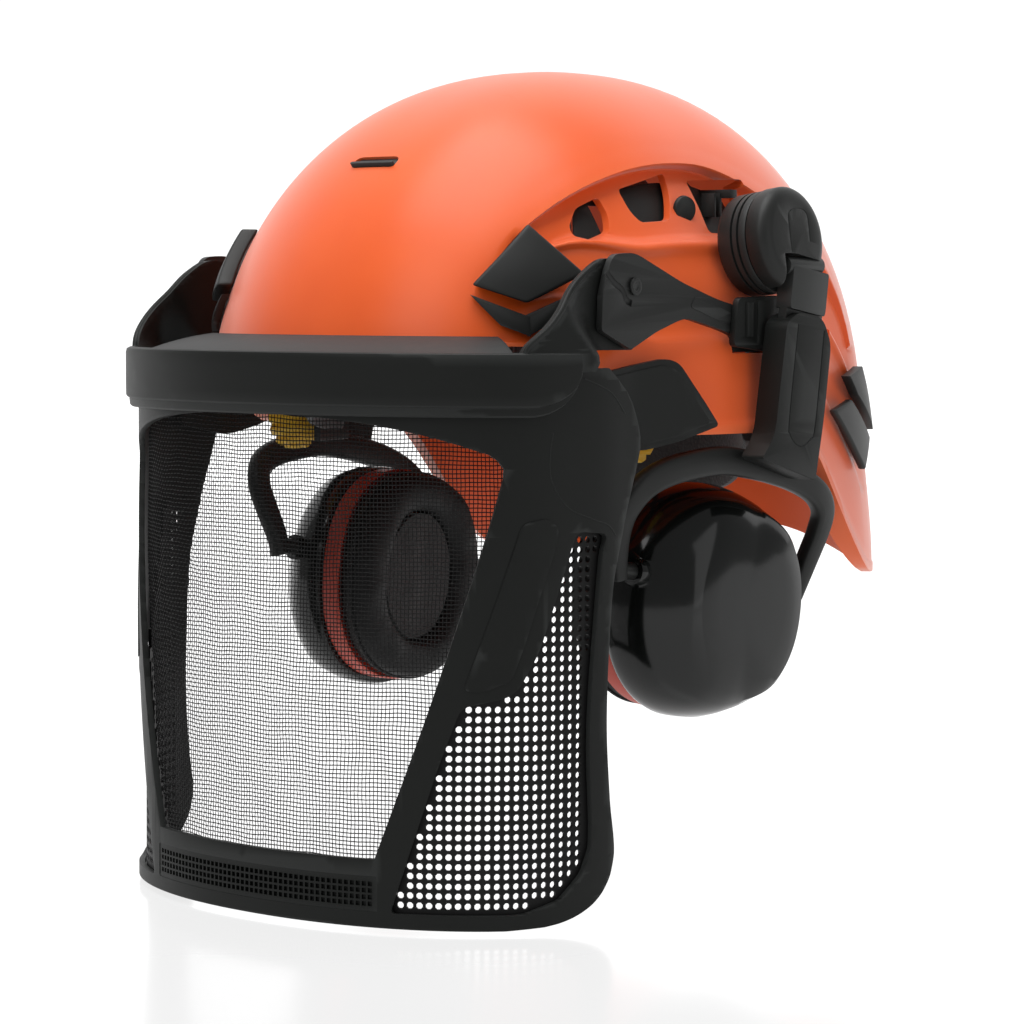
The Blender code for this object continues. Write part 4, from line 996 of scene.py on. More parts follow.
def wires(lines, radius):
    """Mesh of many thin square wires, each a list of vectors."""
    points = []
    faces = []
    for line in lines:
        base = len(points)
        for k, point in enumerate(line):
            ahead = (line[min(k + 1, len(line) - 1)] - line[max(k - 1, 0)]).normalized()
            aside = Vector((0.0, 0.0, 1.0)) if abs(ahead.z) < 0.7 else Vector((1.0, 0.0, 0.0))
            side = ahead.cross(aside).normalized()
            up = ahead.cross(side)
            points += [point + way * radius for way in (side, up, -side, -up)]
        for k in range(len(line) - 1):
            for m in range(4):
                a, b = base + 4 * k + m, base + 4 * k + (m + 1) % 4
                faces.append((a, b, b + 4, a + 4))
        last = base + 4 * (len(line) - 1)
        faces.append((base + 3, base + 2, base + 1, base))
        faces.append((last, last + 1, last + 2, last + 3))
    bm = bmesh.new()
    made = [bm.verts.new(p) for p in points]
    for face in faces:
        bm.faces.new([made[k] for k in face])
    return bm


def make_screen():
    """Plain weave: each wire passes over and under the ones it crosses."""
    noise.seed_set(WEAVE_SEED)
    outline = []
    for s, z in screen_window():
        outline.append((s * 1.012 + math.copysign(2.2, s), z + (2.0 if z > -60.0 else -2.0)))
    centre_out = -FRAME_WALL - 1.9
    half = int(max(s for s, _ in outline) / WEAVE_PITCH) + 1
    rows = int((max(z for _, z in outline) - WEAVE_BOTTOM) / WEAVE_PITCH) + 1

    def knot(i, j, over):
        s, z = i * WEAVE_PITCH, WEAVE_BOTTOM + j * WEAVE_PITCH
        lift = (WIRE_RADIUS * 0.8) * (1 if (i + j) % 2 == over else -1)
        at = Vector((s, z, 0.0))
        drift = noise.noise_vector(at * 0.05) * 0.9 + noise.noise_vector(at * 0.16) * 0.22
        billow = 1.1 * noise.noise(at * 0.021 + Vector((4.0, 2.0, 9.0)))
        return s + drift.x, z + drift.y, lift + billow

    for name, over, across, along in (
        ("screen_warp", 0, range(-half, half + 1), range(rows)),
        ("screen_weft", 1, range(rows), range(-half, half + 1)),
    ):
        lines = []
        for a in across:
            line = []
            for b in along:
                i, j = (a, b) if over == 0 else (b, a)
                s, z, lift = knot(i, j, over)
                if inside(outline, s, z):
                    line.append(wall_point(s, z, centre_out + lift))
            if len(line) > 1:
                lines.append(line)
        nodes = ["mesh_screen"] if over == 0 else []
        piece(name, wires(lines, WIRE_RADIUS), SCREEN, "visor", nodes, angle=60.0)


# Band section as (height, how far it stands out), from the inner top edge round the outside
BAND_SECTION = (
    (17.2, 0.8), (18.0, 1.6), (18.0, 3.6), (17.3, 4.9), (15.8, 5.3), (12.0, 5.3), (2.0, 5.3), (-2.2, 5.2),
    (-3.0, 4.7), (-3.3, 3.9), (-4.2, 3.8), (-6.2, 3.6), (-7.0, 2.8), (-7.0, 1.2), (-6.4, 0.7), (5.0, 0.7),
)
# Where the band starts to close at each end, and how far the end reaches, in degrees
BAND_END = 62.0
BAND_TIP = 13.4
# Outlines in (Y, Z), each corner with its own radius
BRACKET = (
    (-131.0, 10.5, 1.0), (-129.0, 20.5, 4.0), (-100.0, 47.3, 10.0), (-86.5, 55.0, 5.0),
    (-72.0, 55.0, 8.0), (-61.0, 48.0, 8.0), (-60.0, 28.0, 6.0), (-66.3, 18.8, 1.5),
    (-97.5, 18.8, 1.5), (-102.5, 10.5, 1.0),
)
WING = (
    (-101.5, 8.0, 3.0), (-53.0, 15.4, 4.0), (-45.6, 13.6, 4.0), (-22.4, -12.1, 2.5),
    (-45.0, -18.0, 4.0), (-66.0, -21.5, 5.0), (-82.0, -19.5, 6.0), (-98.0, -16.0, 4.0),
)
WING_CENTRE = Vector((-63.0, -3.5))
LINK = (
    (-70.0, 57.5, 5.0), (-83.4, 56.5, 5.0), (-87.0, 50.0, 4.0), (-90.0, 40.6, 2.0),
    (-90.6, 26.5, 1.5), (-71.7, 19.0, 2.0), (-55.2, 26.0, 3.0), (-36.2, 31.8, 6.0),
    (-8.6, 26.0, 4.0), (2.0, 22.5, 3.0), (13.5, 23.5, 3.0), (15.0, 30.0, 4.0),
    (10.0, 36.4, 4.0), (0.0, 36.4, 5.0), (-14.8, 39.2, 6.0), (-38.3, 45.8, 4.0),
)
# Lines in (Y, Z)
BRACKET_LIP = (
    (-129.6, 16.0), (-127.4, 21.0), (-120.0, 28.0), (-108.0, 39.2), (-99.4, 46.6), (-92.0, 51.0),
    (-86.5, 53.6),
)
LINK_SLOT = (
    (-91.5, 53.5), (-87.6, 49.4), (-83.2, 45.6), (-77.6, 42.4), (-75.0, 38.6), (-71.5, 37.2),
)
LINK_RIB = ((-33.0, 36.0), (-14.0, 30.5), (-6.0, 29.0), (-5.0, 33.5), (-14.0, 36.2), (-30.0, 40.3))


def bracket_x(y, z, layer):
    """The bracket is flat round its pin, and flares out to meet the band's face below."""
    away = math.hypot(y - TILT_PIN.y, z - TILT_PIN.z)
    share = smooth(29.0, 44.0, away) * smooth(46.0, 17.0, z)
    across = min(1.0, abs(y - VISOR_CENTRE_Y) / VISOR_DEPTH)
    wall = VISOR_HALF_WIDTH * (1.0 - across ** VISOR_POWER) ** (1.0 / VISOR_POWER)
    return blend(BRACKET_X[1 - layer], wall + (4.4, 1.2)[layer], share)


def make_bracket(side):
    """Hinge bracket at one end of the band. The right one has more clearance round its pin."""
    hole = circle((TILT_PIN.y, TILT_PIN.z), 3.2 if side > 0 else 3.6, 28)
    flat = flat_mesh([rounded(BRACKET, 5.0), hole])
    slice_mesh(flat, 0, spaced(-128.0, -64.0, 22))
    slice_mesh(flat, 1, spaced(14.0, 52.0, 14))
    return thicken(flat, lambda p, layer: Vector((side * bracket_x(p[0], p[1], layer), p[0], p[1])))


def bracket_lip(side):
    """Rounded lip along the front edge of the bracket."""
    path = curve_through([Vector((0.0, y, z)) for y, z in BRACKET_LIP], 5)
    return rod([Vector((side * (bracket_x(p.y, p.z, 0) - 0.9), p.y, p.z)) for p in path], 1.3, 10)


def make_brow_band():
    rings = []
    ends = [BAND_END + BAND_TIP * math.sin(math.radians(90.0 * k / 12)) for k in range(1, 13)]
    stations = [-u for u in reversed(ends)] + spaced(-BAND_END, BAND_END, 60) + ends
    for u in stations:
        tip = max(0.0, (abs(u) - BAND_END) / BAND_TIP)
        shrink = 1.0 - math.sqrt(max(0.0, 1.0 - tip ** 2)) if tip else 0.0
        ring = []
        for z, out in BAND_SECTION:
            height = blend(z, 14.0 + (z - 14.0) * 0.15, shrink) if z < 14.0 else z
            ring.append(visor_point(u, height, blend(out, 2.8 + (out - 2.8) * 0.8, shrink)))
        rings.append(ring)
    joins = []
    for side in (1, -1):
        joins += [make_bracket(side), bracket_lip(side)]
    piece("brow_band_visual", loft(rings), FRAME_BLACK_AND_SHADE, "visor", ["brow_band"],
          joins=joins, bevel=0.5, angle=40.0)


def make_brim_seal():
    """Rubber lip from the band's top edge to the shell, arched a little in the middle."""
    def point(drop, k, j):
        outer = visor_point(60.0 * k / 44, 15.6 + drop, -0.6)
        inner = dome(31.0 * k / 44, 24.0 + drop, 1.6)
        share = j / 12
        place = outer.lerp(inner, share)
        place.z += 1.1 * math.sin(math.pi * share) - 0.5 * smooth(0.1, 0.0, share)
        return place

    seal = layered((0.0, -2.4), range(-44, 45), range(13), point)
    piece("brim_seal_visual", seal, RUBBER, "visor", ["brim_seal"], bevel=0.5, angle=40.0)


def wing_x(y):
    return float(np.interp(y, (-102.0, -70.0, -26.0), (112.3, 113.4, 120.3)))


def make_temple_wing():
    def panel(scale, low, high):
        corners = [(*(WING_CENTRE + (Vector(c[:2]) - WING_CENTRE) * scale), c[2]) for c in WING]
        flat = slice_mesh(flat_mesh([rounded(corners, 5.0)]), 0, spaced(-96.0, -30.0, 16))
        return thicken(flat, lambda p, layer: Vector((wing_x(p[0]) + (low, high)[layer], *p)))

    piece("temple_wing_visual", panel(1.0, 0.0, 2.5), FRAME_BLACK_AND_SHADE, "visor", ["temple_wing_{s}"],
          joins=[panel(0.86, 1.5, 3.0)], bevel=0.5, sides=2)


def pin(x0, x1, place, radius, sides=32, end_radius=None):
    """Cylinder along X through a place in (Y, Z)."""
    return cylinder((x0, place.y, place.z), (x1, place.y, place.z), radius, sides, end_radius)


def make_link():
    holes = [circle((TILT_PIN.y, TILT_PIN.z), 3.2), circle((LIFT_PIN.y, LIFT_PIN.z), 3.2)]
    slot = rod(curve_through([Vector((LINK_X[1] + 0.5, y, z)) for y, z in LINK_SLOT], 5), 1.5, 12)
    rib = plate_x([rounded(LINK_RIB, 1.5)], LINK_X[1] - 1.0, LINK_X[1] + 0.28)
    plate = plate_x([rounded(LINK, 5.0), *holes], *LINK_X)
    piece("visor_link_visual", plate, BLACK, "visor_link_{s}", ["visor_link_{s}"],
          bevel=0.5, joins=[rib], cuts=[slot], segments=3, sides=2)
    head = pin(115.6, 116.6, TILT_PIN, 3.5, 40)
    dimple = pin(116.2, 119.0, TILT_PIN, 1.7, 28, 2.6)
    piece("tilt_pin_visual", pin(107.6, 115.8, TILT_PIN, 2.9), BLACK, "visor_link_{s}",
          ["tilt_pin_{s}"], joins=[head], cuts=[dimple], bevel=0.35, sides=2)


# ---------------------------------------------------------------- clips, plugs, shutters and adaptors


def dome_pad(corners, near, far, cells=12, crown=0.0):
    """Pad that follows the dome between four (azimuth, height) corners, crowned in the middle."""
    def point(layer, i, j):
        s, t = i / cells, j / cells
        top = [blend(corners[0][k], corners[1][k], s) for k in (0, 1)]
        low = [blend(corners[3][k], corners[2][k], s) for k in (0, 1)]
        azimuth, z = blend(top[0], low[0], t), blend(top[1], low[1], t)
        top_layer, out = layer
        extra = top_layer * crown * math.sin(math.pi * s) * math.sin(math.pi * t)
        return dome(azimuth, z, out + extra + nape_flare(azimuth, z))

    return layered(((1, far), (0, near)), range(cells + 1), range(cells + 1), point)


def make_clips():
    wing = dome_pad(((34.8, 32.4), (42.0, 41.0), (39.4, 30.4), (35.2, 24.0)), 0.6, 3.4, 8, 0.6)
    # Name, corners, height over the dome, crown and joined pieces
    clips = (
        ("front_clip_hook", ((34.5, 68.7), (43.9, 49.0), (34.9, 37.2), (26.8, 44.2)), 6.6, 0.6, ()),
        ("front_clip_base", ((26.6, 40.3), (35.4, 31.8), (35.6, 24.0), (31.2, 28.4)), 3.6, 0.6, (wing,)),
        ("rear_clip_hook", ((118.2, 6.5), (126.5, 10.5), (134.5, -18.0), (121.8, -1.5)), 4.6, 0.5, ()),
        ("rear_clip_base", ((111.0, -8.0), (119.4, -3.5), (131.5, -21.0), (125.5, -35.0)), 3.8, 0.3, ()),
    )
    for name, corners, far, crown, joins in clips:
        pad = dome_pad(corners, 0.6, far, 14, crown)
        piece(name + "_visual", pad, BLACK, "helmet", [name + "_{s}"],
              bevel=1.1, segments=3, angle=40.0, joins=joins, sides=2)


def make_plugs_and_shutters():
    seat, outward = plug_seat(1)
    stem = cylinder(seat - outward * 3.6, seat + outward * 0.6, 3.0, 24)
    head = cylinder(seat + outward * 0.6, seat + outward * 2.1, 5.8, 48, 5.3)
    piece("side_plug_visual", head, BLACK, "helmet", ["side_plug_{s}"], joins=[stem], bevel=0.35, sides=2)

    def heights(azimuth):
        top = arch_height(azimuth) - 8.0
        bottom = blend(arch_height(azimuth), rim_height(azimuth), 0.30) - 1.0
        return spaced(top, bottom, 8)

    def point(out, azimuth, k):
        return dome(azimuth, heights(azimuth)[k], out)

    behind = RECESS_DEPTH + SHELL_WALL
    shutter = layered((-(behind + 1.7), -(behind + 3.3)), spaced(44.0, 99.0, 44), range(9), point)
    tab = box((78.0, 21.0, 82.0), (95.5, 25.5, 85.5))
    ribs = [box((84.0, y, 74.0), (90.6, y + 1.4, 84.0)) for y in (16.0, 20.0)]
    windows = [box((60.0, y - 5.0, 66.0), (110.0, y + 5.0, 77.0)) for y in (-44.0, -2.0)]
    piece("vent_shutter_visual", shutter, BLACK, "vent_shutter_{s}", ["vent_shutter_{s}"],
          joins=[tab, *ribs], cuts=windows, bevel=0.3, sides=2)


def make_adaptor():
    cheek = LINK_X[1] + GAP
    outline = rounded(((-7.0, 20.0), (24.0, 17.0), (25.0, 41.0), (-4.0, 40.0)), 3.0)
    joins = [
        box((103.5, -0.6, 17.4), (LINK_X[0] - GAP, 20.6, 32.6)),
        box((108.0, 18.4, 18.4), (cheek + 1.2, 20.2, 31.6)),
        pin(LINK_X[0] - 2.0, cheek + 1.0, LIFT_PIN, 2.9),
        box((cheek + 1.0, 1.0, 24.0), (cheek + 4.0, 5.0, 38.0)),
        box((cheek + 1.0, 9.0, 20.5), (cheek + 3.6, 20.0, 39.0)),
    ]
    # The darker frame black here is painted shade: the adaptor sits in shadow under the hub
    piece("side_adaptor_visual", plate_x([outline], cheek, cheek + 2.8), FRAME_BLACK_AND_SHADE, "helmet",
          ["side_adaptor_{s}"], joins=joins, bevel=0.45, sides=2)


# ---------------------------------------------------------------- ear muff

HUB_OUT = Vector((math.cos(HUB_TILT), 0.0, math.sin(HUB_TILT)))
HUB_UP = Vector((-math.sin(HUB_TILT), 0.0, math.cos(HUB_TILT)))
ARM_DOWN = Vector((0.0, -math.sin(ARM_LEAN), -math.cos(ARM_LEAN)))
ARM_ACROSS = Vector((0.0, math.cos(ARM_LEAN), -math.sin(ARM_LEAN)))
X_AXIS = Vector((1.0, 0.0, 0.0))
# Rounded edge of the hub cap, as (distance in from its radius, depth below its face)
CAP_EDGE = ((0.0, 4.4), (0.25, 3.4), (1.0, 2.2), (2.2, 1.1), (3.8, 0.35), (5.6, 0.0))
# Arched grooves of the cap, as (Y, up), and of the sleeve, as (across, down)
CAP_GROOVE = (
    (-4.5, -6.0), (-4.5, 8.0), (-3.0, 11.0), (0.0, 12.2), (5.0, 12.2), (8.0, 11.0), (9.5, 8.0),
    (9.5, -1.5),
)
SLEEVE_GROOVE = (
    (-8.5, 4.0), (-8.5, 44.0), (-7.0, 50.0), (-2.0, 53.5), (3.0, 53.5), (8.0, 50.0), (10.5, 44.0),
    (10.5, 4.0),
)
# Outlines in the arm's plane, as (across, down)
SLEEVE = (
    (-16.5, 4.5, 3.0), (-9.0, -1.0, 5.0), (9.0, -1.0, 5.0), (16.5, 9.0, 4.0), (16.5, 40.0, 8.0),
    (14.5, 67.0, 2.0), (-25.0, 62.0, 2.0), (-17.5, 52.0, 9.0),
)
BLADE_HEAD = (
    (-13.5, -20.0), (12.0, -20.0), (12.0, -4.0), (11.5, -2.0), (-13.0, -2.0), (-13.5, -4.0),
)


def hub_point(y, up, depth):
    return HUB_FACE - HUB_OUT * depth + Vector((0.0, y, 0.0)) + HUB_UP * up


def hub_ring(radius, depth, sides=72):
    return [hub_point(radius * math.cos(a), radius * math.sin(a), depth) for a in turns(sides)]


def dome_x(y, z, out):
    """X of the dome's left side at a given Y and height."""
    rise = max(0.0, (z - SHELL_EQUATOR) / (SHELL_TOP + out - SHELL_EQUATOR))
    width = max(0.0, 1.0 - rise ** SIDE_POWER) ** (1.0 / SIDE_POWER)
    length = (SHELL_FRONT if y < WIDEST_Y else SHELL_REAR) + out
    across = abs(y - WIDEST_Y) / (length * width)
    return (SHELL_HALF_WIDTH + out) * width * (1.0 - across ** PLAN_POWER) ** (1.0 / PLAN_POWER)


def make_hub():
    top = HUB_CAP_DEPTH + GAP
    edge = HUB_RADIUS - 0.4
    drum = [(6.0, 0.0), (edge - 1.2, 0.0), (edge - 0.3, 0.3), (edge, 1.0)]
    for groove in (3.4, 6.6):
        for depth, inwards in ((0.0, 0.0), (0.25, 1.0), (0.95, 1.0), (1.2, 0.0)):
            drum.append((edge - inwards, groove + depth))
    drum += [(edge, HUB_DRUM_DEPTH - 3.0), (edge - 0.8, HUB_DRUM_DEPTH - 1.4)]
    drum += [(edge - 2.6, HUB_DRUM_DEPTH), (13.0, HUB_DRUM_DEPTH)]
    rings = [hub_ring(radius, top + depth) for radius, depth in drum]
    for radius in (13.0, 5.0):
        rings.append([Vector((dome_x(p.y, p.z, -1.4), p.y, p.z)) for p in hub_ring(radius, top)])
    piece("hub_base_visual", loft(rings), BLACK, "helmet", ["hub_base_{s}"], angle=30.0, sides=2)

    cap = [(HUB_RADIUS - 0.6, HUB_CAP_DEPTH), (HUB_RADIUS, HUB_CAP_DEPTH - 0.6)]
    cap += [(HUB_RADIUS - inwards, depth) for inwards, depth in CAP_EDGE] + [(7.5, 0.0)]
    reach = KNUCKLE_WIDTH / 2.0 + 0.6
    top = SPREAD_AXIS.z + KNUCKLE_RADIUS + 0.8
    front, rear = SPREAD_AXIS.y - reach, SPREAD_AXIS.y + reach
    outline = [(front, 20.0), (rear, 20.0), (rear, top - 4.0), (front + 8.0, top), (front, top)]
    notch = plate_x([outline], 100.0, 150.0)
    line = [hub_point(y, up, -0.15) for y, up in CAP_GROOVE]
    groove = rod(curve_through(line, 5), 0.42)
    rings = [hub_ring(radius, depth) for radius, depth in cap]
    piece("hub_cap_visual", loft(rings), BLACK, "hub_{s}", ["hub_cap_{s}"],
          cuts=[notch, groove], bevel=0.35, angle=30.0, sides=2)


def arm_point(across, down, x):
    return Vector((x, ARM_TOP.y, ARM_TOP.z)) + ARM_ACROSS * across + ARM_DOWN * down


def arm_solid(outline, x0, x1):
    """Plate drawn in the arm's own plane, as (across, down)."""
    return thicken(flat_mesh([outline]), lambda p, layer: arm_point(p[0], p[1], (x0, x1)[layer]))


def arm_bar(low, high, width, thickness):
    w = width / 2.0
    outline = [(-w, low), (w, low), (w, high), (-w, high)]
    return arm_solid(outline, ARM_TOP.x - thickness / 2.0, ARM_TOP.x + thickness / 2.0)


def make_arm():
    edge = Vector((0.0, KNUCKLE_WIDTH / 2.0, 0.0))
    knuckle = cylinder(SPREAD_AXIS - edge * 0.8, SPREAD_AXIS + edge * 0.78, KNUCKLE_RADIUS - 0.6, 32)
    head = arm_solid(rounded(BLADE_HEAD, 1.5), 123.6, 131.2)
    piece("arm_blade_visual", arm_bar(-19.0, 38.0, 26.0, 4.0), BLACK, "arm_{s}",
          ["arm_blade_{s}"], joins=[knuckle, head], bevel=0.5, segments=3, sides=2)


def make_sleeve():
    pocket = arm_bar(-5.0, 57.5, 26.6, 4.6)
    line = [arm_point(across, down, 132.7) for across, down in SLEEVE_GROOVE]
    groove = rod(curve_through(line, 6), 0.45)
    sleeve = arm_solid(rounded(SLEEVE, 3.0), 121.5, 132.5)
    piece("arm_sleeve_visual", sleeve, FRAME_BLACK_AND_SHADE, "bail_{s}", ["arm_sleeve_{s}"],
          cuts=[pocket, groove], bevel=1.8, segments=4, sides=2)


# Half of the yoke from cup to crown, as (X, share of the reach, height, half height of section)
YOKE_PATH = (
    (99.0, 0.95, -80.0, 3.6), (100.0, 0.99, -72.0, 4.2), (103.5, 1.04, -61.0, 4.8),
    (108.0, 1.05, -51.0, 5.2), (112.0, 0.99, -42.0, 5.6), (114.0, 0.84, -35.6, 5.8),
    (114.6, 0.6, -31.6, 5.9), (114.6, 0.3, -29.4, 6.0), (114.6, 0.0, -28.8, 6.0),
)


def toed(bm):
    """The muff parts lean forward like the arm and turn in a little at the front."""
    turn = Matrix.Rotation(TOE_IN, 3, "Z") @ Matrix.Rotation(CUP_LEAN, 3, "X")
    bmesh.ops.rotate(bm, cent=CUP_PIVOT, matrix=turn, verts=bm.verts)
    return bm


def cup_axle(side, near, far, radius, sides):
    """Stub on the axis that the cup tilts about, between two distances from its middle."""
    start = CUP_PIVOT + Vector((0, side * near, 0))
    return cylinder(start, CUP_PIVOT + Vector((0, side * far, 0)), radius, sides)


def make_yoke():
    def arm_of_yoke(side, stretch):
        """One half of the yoke, from the cup up to the crown, pushed outwards by the stretch."""
        points = []
        for x, share, z, _ in YOKE_PATH:
            reach = share * YOKE_REACH * (1.0 + stretch * smooth(-76.0, -50.0, z))
            points.append(Vector((x, CUP_Y + side * reach, z - 3.0 * (side < 0) * smooth(0.3, 0.8, share))))
        return points

    path = arm_of_yoke(-1, 0.03) + arm_of_yoke(1, -0.07)[-2::-1]
    heights = [row[3] for row in YOKE_PATH]
    heights += heights[-2::-1]
    places = spaced(0.0, 1.0, len(heights) - 1)

    def section(share):
        height = float(np.interp(share, places, heights))
        ring = []
        for angle in turns(20):
            a, b = signed_power(math.cos(angle), 0.55), signed_power(math.sin(angle), 0.55)
            ring.append((3.8 * a, -height * b))
        return ring

    joins = [toed(cup_axle(side, CUP_HALF_WIDTH + 0.9, YOKE_REACH - 3.0, 3.6, 24)) for side in (-1, 1)]
    bow = toed(sweep(curve_through(path, 7), section))
    piece("yoke_visual", bow, BLACK, "bail_{s}", ["yoke_{s}"],
          joins=joins, bevel=0.3, angle=40.0, sides=2)


# Cup profiles from the middle of the face to the rim, as (x, share of half width, share of half height)
CUP_RIM = ((94.5, 0.995, 0.995), (90.0, 1.0, 1.0), (86.6, 1.0, 1.0), (84.3, 0.985, 0.985))
SOFT_PROFILE = (
    (119.0, 0.0, 0.0), (118.9, 0.3, 0.3), (118.4, 0.46, 0.46), (117.3, 0.6, 0.61),
    (115.4, 0.72, 0.74), (111.6, 0.83, 0.85), (106.5, 0.91, 0.92), (100.5, 0.96, 0.965),
) + CUP_RIM
CREASED_PROFILE = (
    (119.0, 0.0, 0.0), (118.9, 0.35, 0.35), (118.6, 0.6, 0.6), (118.0, 0.78, 0.76),
    (117.2, 0.86, 0.83), (115.8, 0.885, 0.87), (108.5, 0.93, 0.92), (101.5, 0.965, 0.96),
) + CUP_RIM
FACET_PROFILE = (
    (119.0, 0.0, 0.0), (118.9, 0.3, 0.3), (118.3, 0.5, 0.48), (117.2, 0.57, 0.6),
    (114.6, 0.66, 0.72), (110.2, 0.77, 0.83), (105.2, 0.87, 0.91), (100.0, 0.95, 0.96),
) + CUP_RIM
CUP_POWER = 2.15
CUP_SIDES = 96


def cup_ring(k, inset, angle_list):
    """Ring k of the cup: creased at the rear, faceted at the front and soft between."""
    ring = []
    for angle in angle_list:
        rear, front = smooth(0.2, 0.75, math.cos(angle)), smooth(0.2, 0.8, -math.cos(angle))
        x, w, h = [blend(a, b, rear) for a, b in zip(SOFT_PROFILE[k], CREASED_PROFILE[k])]
        x, w, h = [blend(a, b, front) for a, b in zip((x, w, h), FACET_PROFILE[k])]
        if w == 0.0:
            ring.append(Vector((x - inset, CUP_Y, CUP_Z)))
            continue
        y = (CUP_HALF_WIDTH * w - inset) * signed_power(math.cos(angle), 2.0 / CUP_POWER)
        z = (CUP_HALF_HEIGHT * h - inset) * signed_power(math.sin(angle), 2.0 / CUP_POWER)
        ring.append(Vector((x - inset * (x > 90.0), CUP_Y + y, CUP_Z + z)))
    return ring


def make_cup():
    angle_list = turns(CUP_SIDES)
    grids = []
    for inset in (0.0, CUP_WALL):
        rings = [cup_ring(k, inset, angle_list) for k in range(len(SOFT_PROFILE))]
        grids.append([list(column) for column in zip(*rings)])
    joins = [toed(cup_axle(side, CUP_HALF_WIDTH - 5.0, CUP_HALF_WIDTH + 0.5, 5.6, 40)) for side in (-1, 1)]
    cup = toed(solid_from_grids(*grids, wrap=True, pole=True))
    piece("muff_cup", cup, GLOSS, "muff_{s}", ["cup_{s}"], joins=joins, bevel=0.25, angle=24.0, sides=2)


def pad_rings(outline, outer, inner, wobble=0.0, count=120):
    """Rings of an annular pad round the ear, from an outline of (x, share outwards) points.

    outer and inner are its half width and half height. wobble creases its soft inner face.
    """
    outer_oval, inner_oval = oval(*outer, count, 2.25), oval(*inner, count, 2.2)
    rings = []
    for (y0, z0), (y1, z1) in zip(inner_oval, outer_oval):
        ring = []
        for x, share in outline:
            point = Vector((x, CUP_Y + blend(y0, y1, share), PAD_Z + blend(z0, z1, share)))
            if wobble:
                point.x += wobble * noise.noise(point * 0.09) * smooth(77.0, 66.0, x)
                point.x += 0.3 * wobble * noise.noise(point * 0.35) * smooth(77.0, 66.0, x)
            ring.append(point)
        rings.append(ring)
    return rings


# Section of the back ring, as (X, share outwards)
RING_SECTION = (
    (77.7, 0.06), (77.6, 0.2), (76.0, 0.84), (74.6, 0.96), (75.4, 1.0), (82.2, 1.0),
    (83.4, 0.985), (84.0, 0.94), (84.0, 0.5), (84.0, 0.04), (83.0, 0.0), (79.0, 0.0),
)


def cushion_section():
    """Plump section of the cushion, flattened where it sits on the back ring."""
    points = []
    for k in range(28):
        angle = 2.0 * math.pi * k / 28
        x = 68.8 - 8.6 * signed_power(math.cos(angle), 0.8)
        share = 0.5 + 0.5 * signed_power(math.sin(angle), 0.72)
        points.append((77.2 if x > 76.2 else x, share))
    return points


def make_pads():
    ring = toed(loft(pad_rings(RING_SECTION, (45.6, 47.6), (27.0, 33.0)), closed=True))
    piece("back_ring_visual", ring, RED, "muff_{s}", ["back_ring_{s}"], angle=30.0, sides=2)

    skin = toed(loft(pad_rings(cushion_section(), (43.8, 46.2), (24.0, 29.0), 0.9), closed=True))
    cushions = piece("ear_cushion", skin, SKIN, "muff_{s}", ["cushion_{s}"], angle=60.0, sides=2)

    seam = [Vector((68.5, CUP_Y + y, PAD_Z + z)) for y, z in oval(44.0, 46.4, 160, 2.25)]
    rings = []
    for k, point in enumerate(seam):
        ahead = seam[(k + 1) % len(seam)] - seam[k - 1]
        side = X_AXIS.cross(ahead).normalized()
        rings.append([point + X_AXIS * 0.7 * math.cos(a) + side * 0.7 * math.sin(a) for a in turns(8)])
    piece("cushion_piping", toed(loft(rings, closed=True)), SKIN, "muff_{s}", angle=60.0, sides=2)

    def foam_point(layer, angle, share):
        y = 23.2 * share * math.cos(angle)
        z = 28.2 * share * math.sin(angle)
        dent = 1.2 * noise.noise(Vector((y * 0.08, z * 0.08, 3.0))) * (1.0 - share ** 4)
        x = (64.5 + dent, 101.0 - 3.0 * share)[layer]
        return Vector((x, CUP_Y + y, PAD_Z + z))

    shares = (0.0, 0.2, 0.4, 0.6, 0.8, 0.92, 1.0)
    foam = toed(layered((0, 1), turns(64), shares, foam_point, wrap=True, pole=True))
    foams = piece("foam_insert_visual", foam, FOAM, "muff_{s}", ["foam_insert_{s}"], angle=60.0, sides=2)


# ---------------------------------------------------------------- suspension


def band_point(azimuth, out=0.0):
    angle = math.radians(azimuth)
    x = math.sin(angle) / BAND_HALF_WIDTH
    y = math.cos(angle) / BAND_HALF_LENGTH
    reach = (abs(x) ** BAND_POWER + abs(y) ** BAND_POWER) ** (-1.0 / BAND_POWER)
    return x * reach * (BAND_HALF_WIDTH + out), BAND_CENTRE_Y - y * reach * (BAND_HALF_LENGTH + out)


def band_bottom(azimuth):
    side = abs(azimuth) if abs(azimuth) <= 180.0 else 360.0 - abs(azimuth)
    return -8.0 - 8.0 * smooth(20.0, 60.0, side) - 20.0 * smooth(125.0, 165.0, side)


def band_sheet(azimuths, heights, outs, wrap=False, puff=0.0):
    """Strip of the headband's plan between two offsets, puffed on its inner face.

    heights(azimuth, low) gives the heights of its points from the height of the band's lower edge.
    """
    count = len(heights(azimuths[0], 0.0))

    def point(layer, azimuth, k):
        index, out = layer
        swell = puff * index * (math.sin(math.pi * (k / (count - 1))) ** 0.5 - 1.0)
        x, y = band_point(azimuth, out - swell)
        return Vector((x, y, heights(azimuth, band_bottom(azimuth))[k]))

    return layered(tuple(enumerate(outs)), azimuths, range(count), point, wrap=wrap)


def band_rows(azimuth, low):
    return (low + BAND_HEIGHT, low + BAND_HEIGHT - 3, low + 3, low)


def brow_rows(azimuth, low):
    return spaced(low + BAND_HEIGHT, low - 3.0, 10)


def nape_rows(azimuth, low):
    dip = 14.0 * smooth(0.0, 1.0, 1.0 - abs(azimuth - 180.0) / 48.0)
    return spaced(-14.0, low - dip, 8)


def mount_rows(azimuth, low):
    return (-3.0, -6.0, -21.0, -24.0)


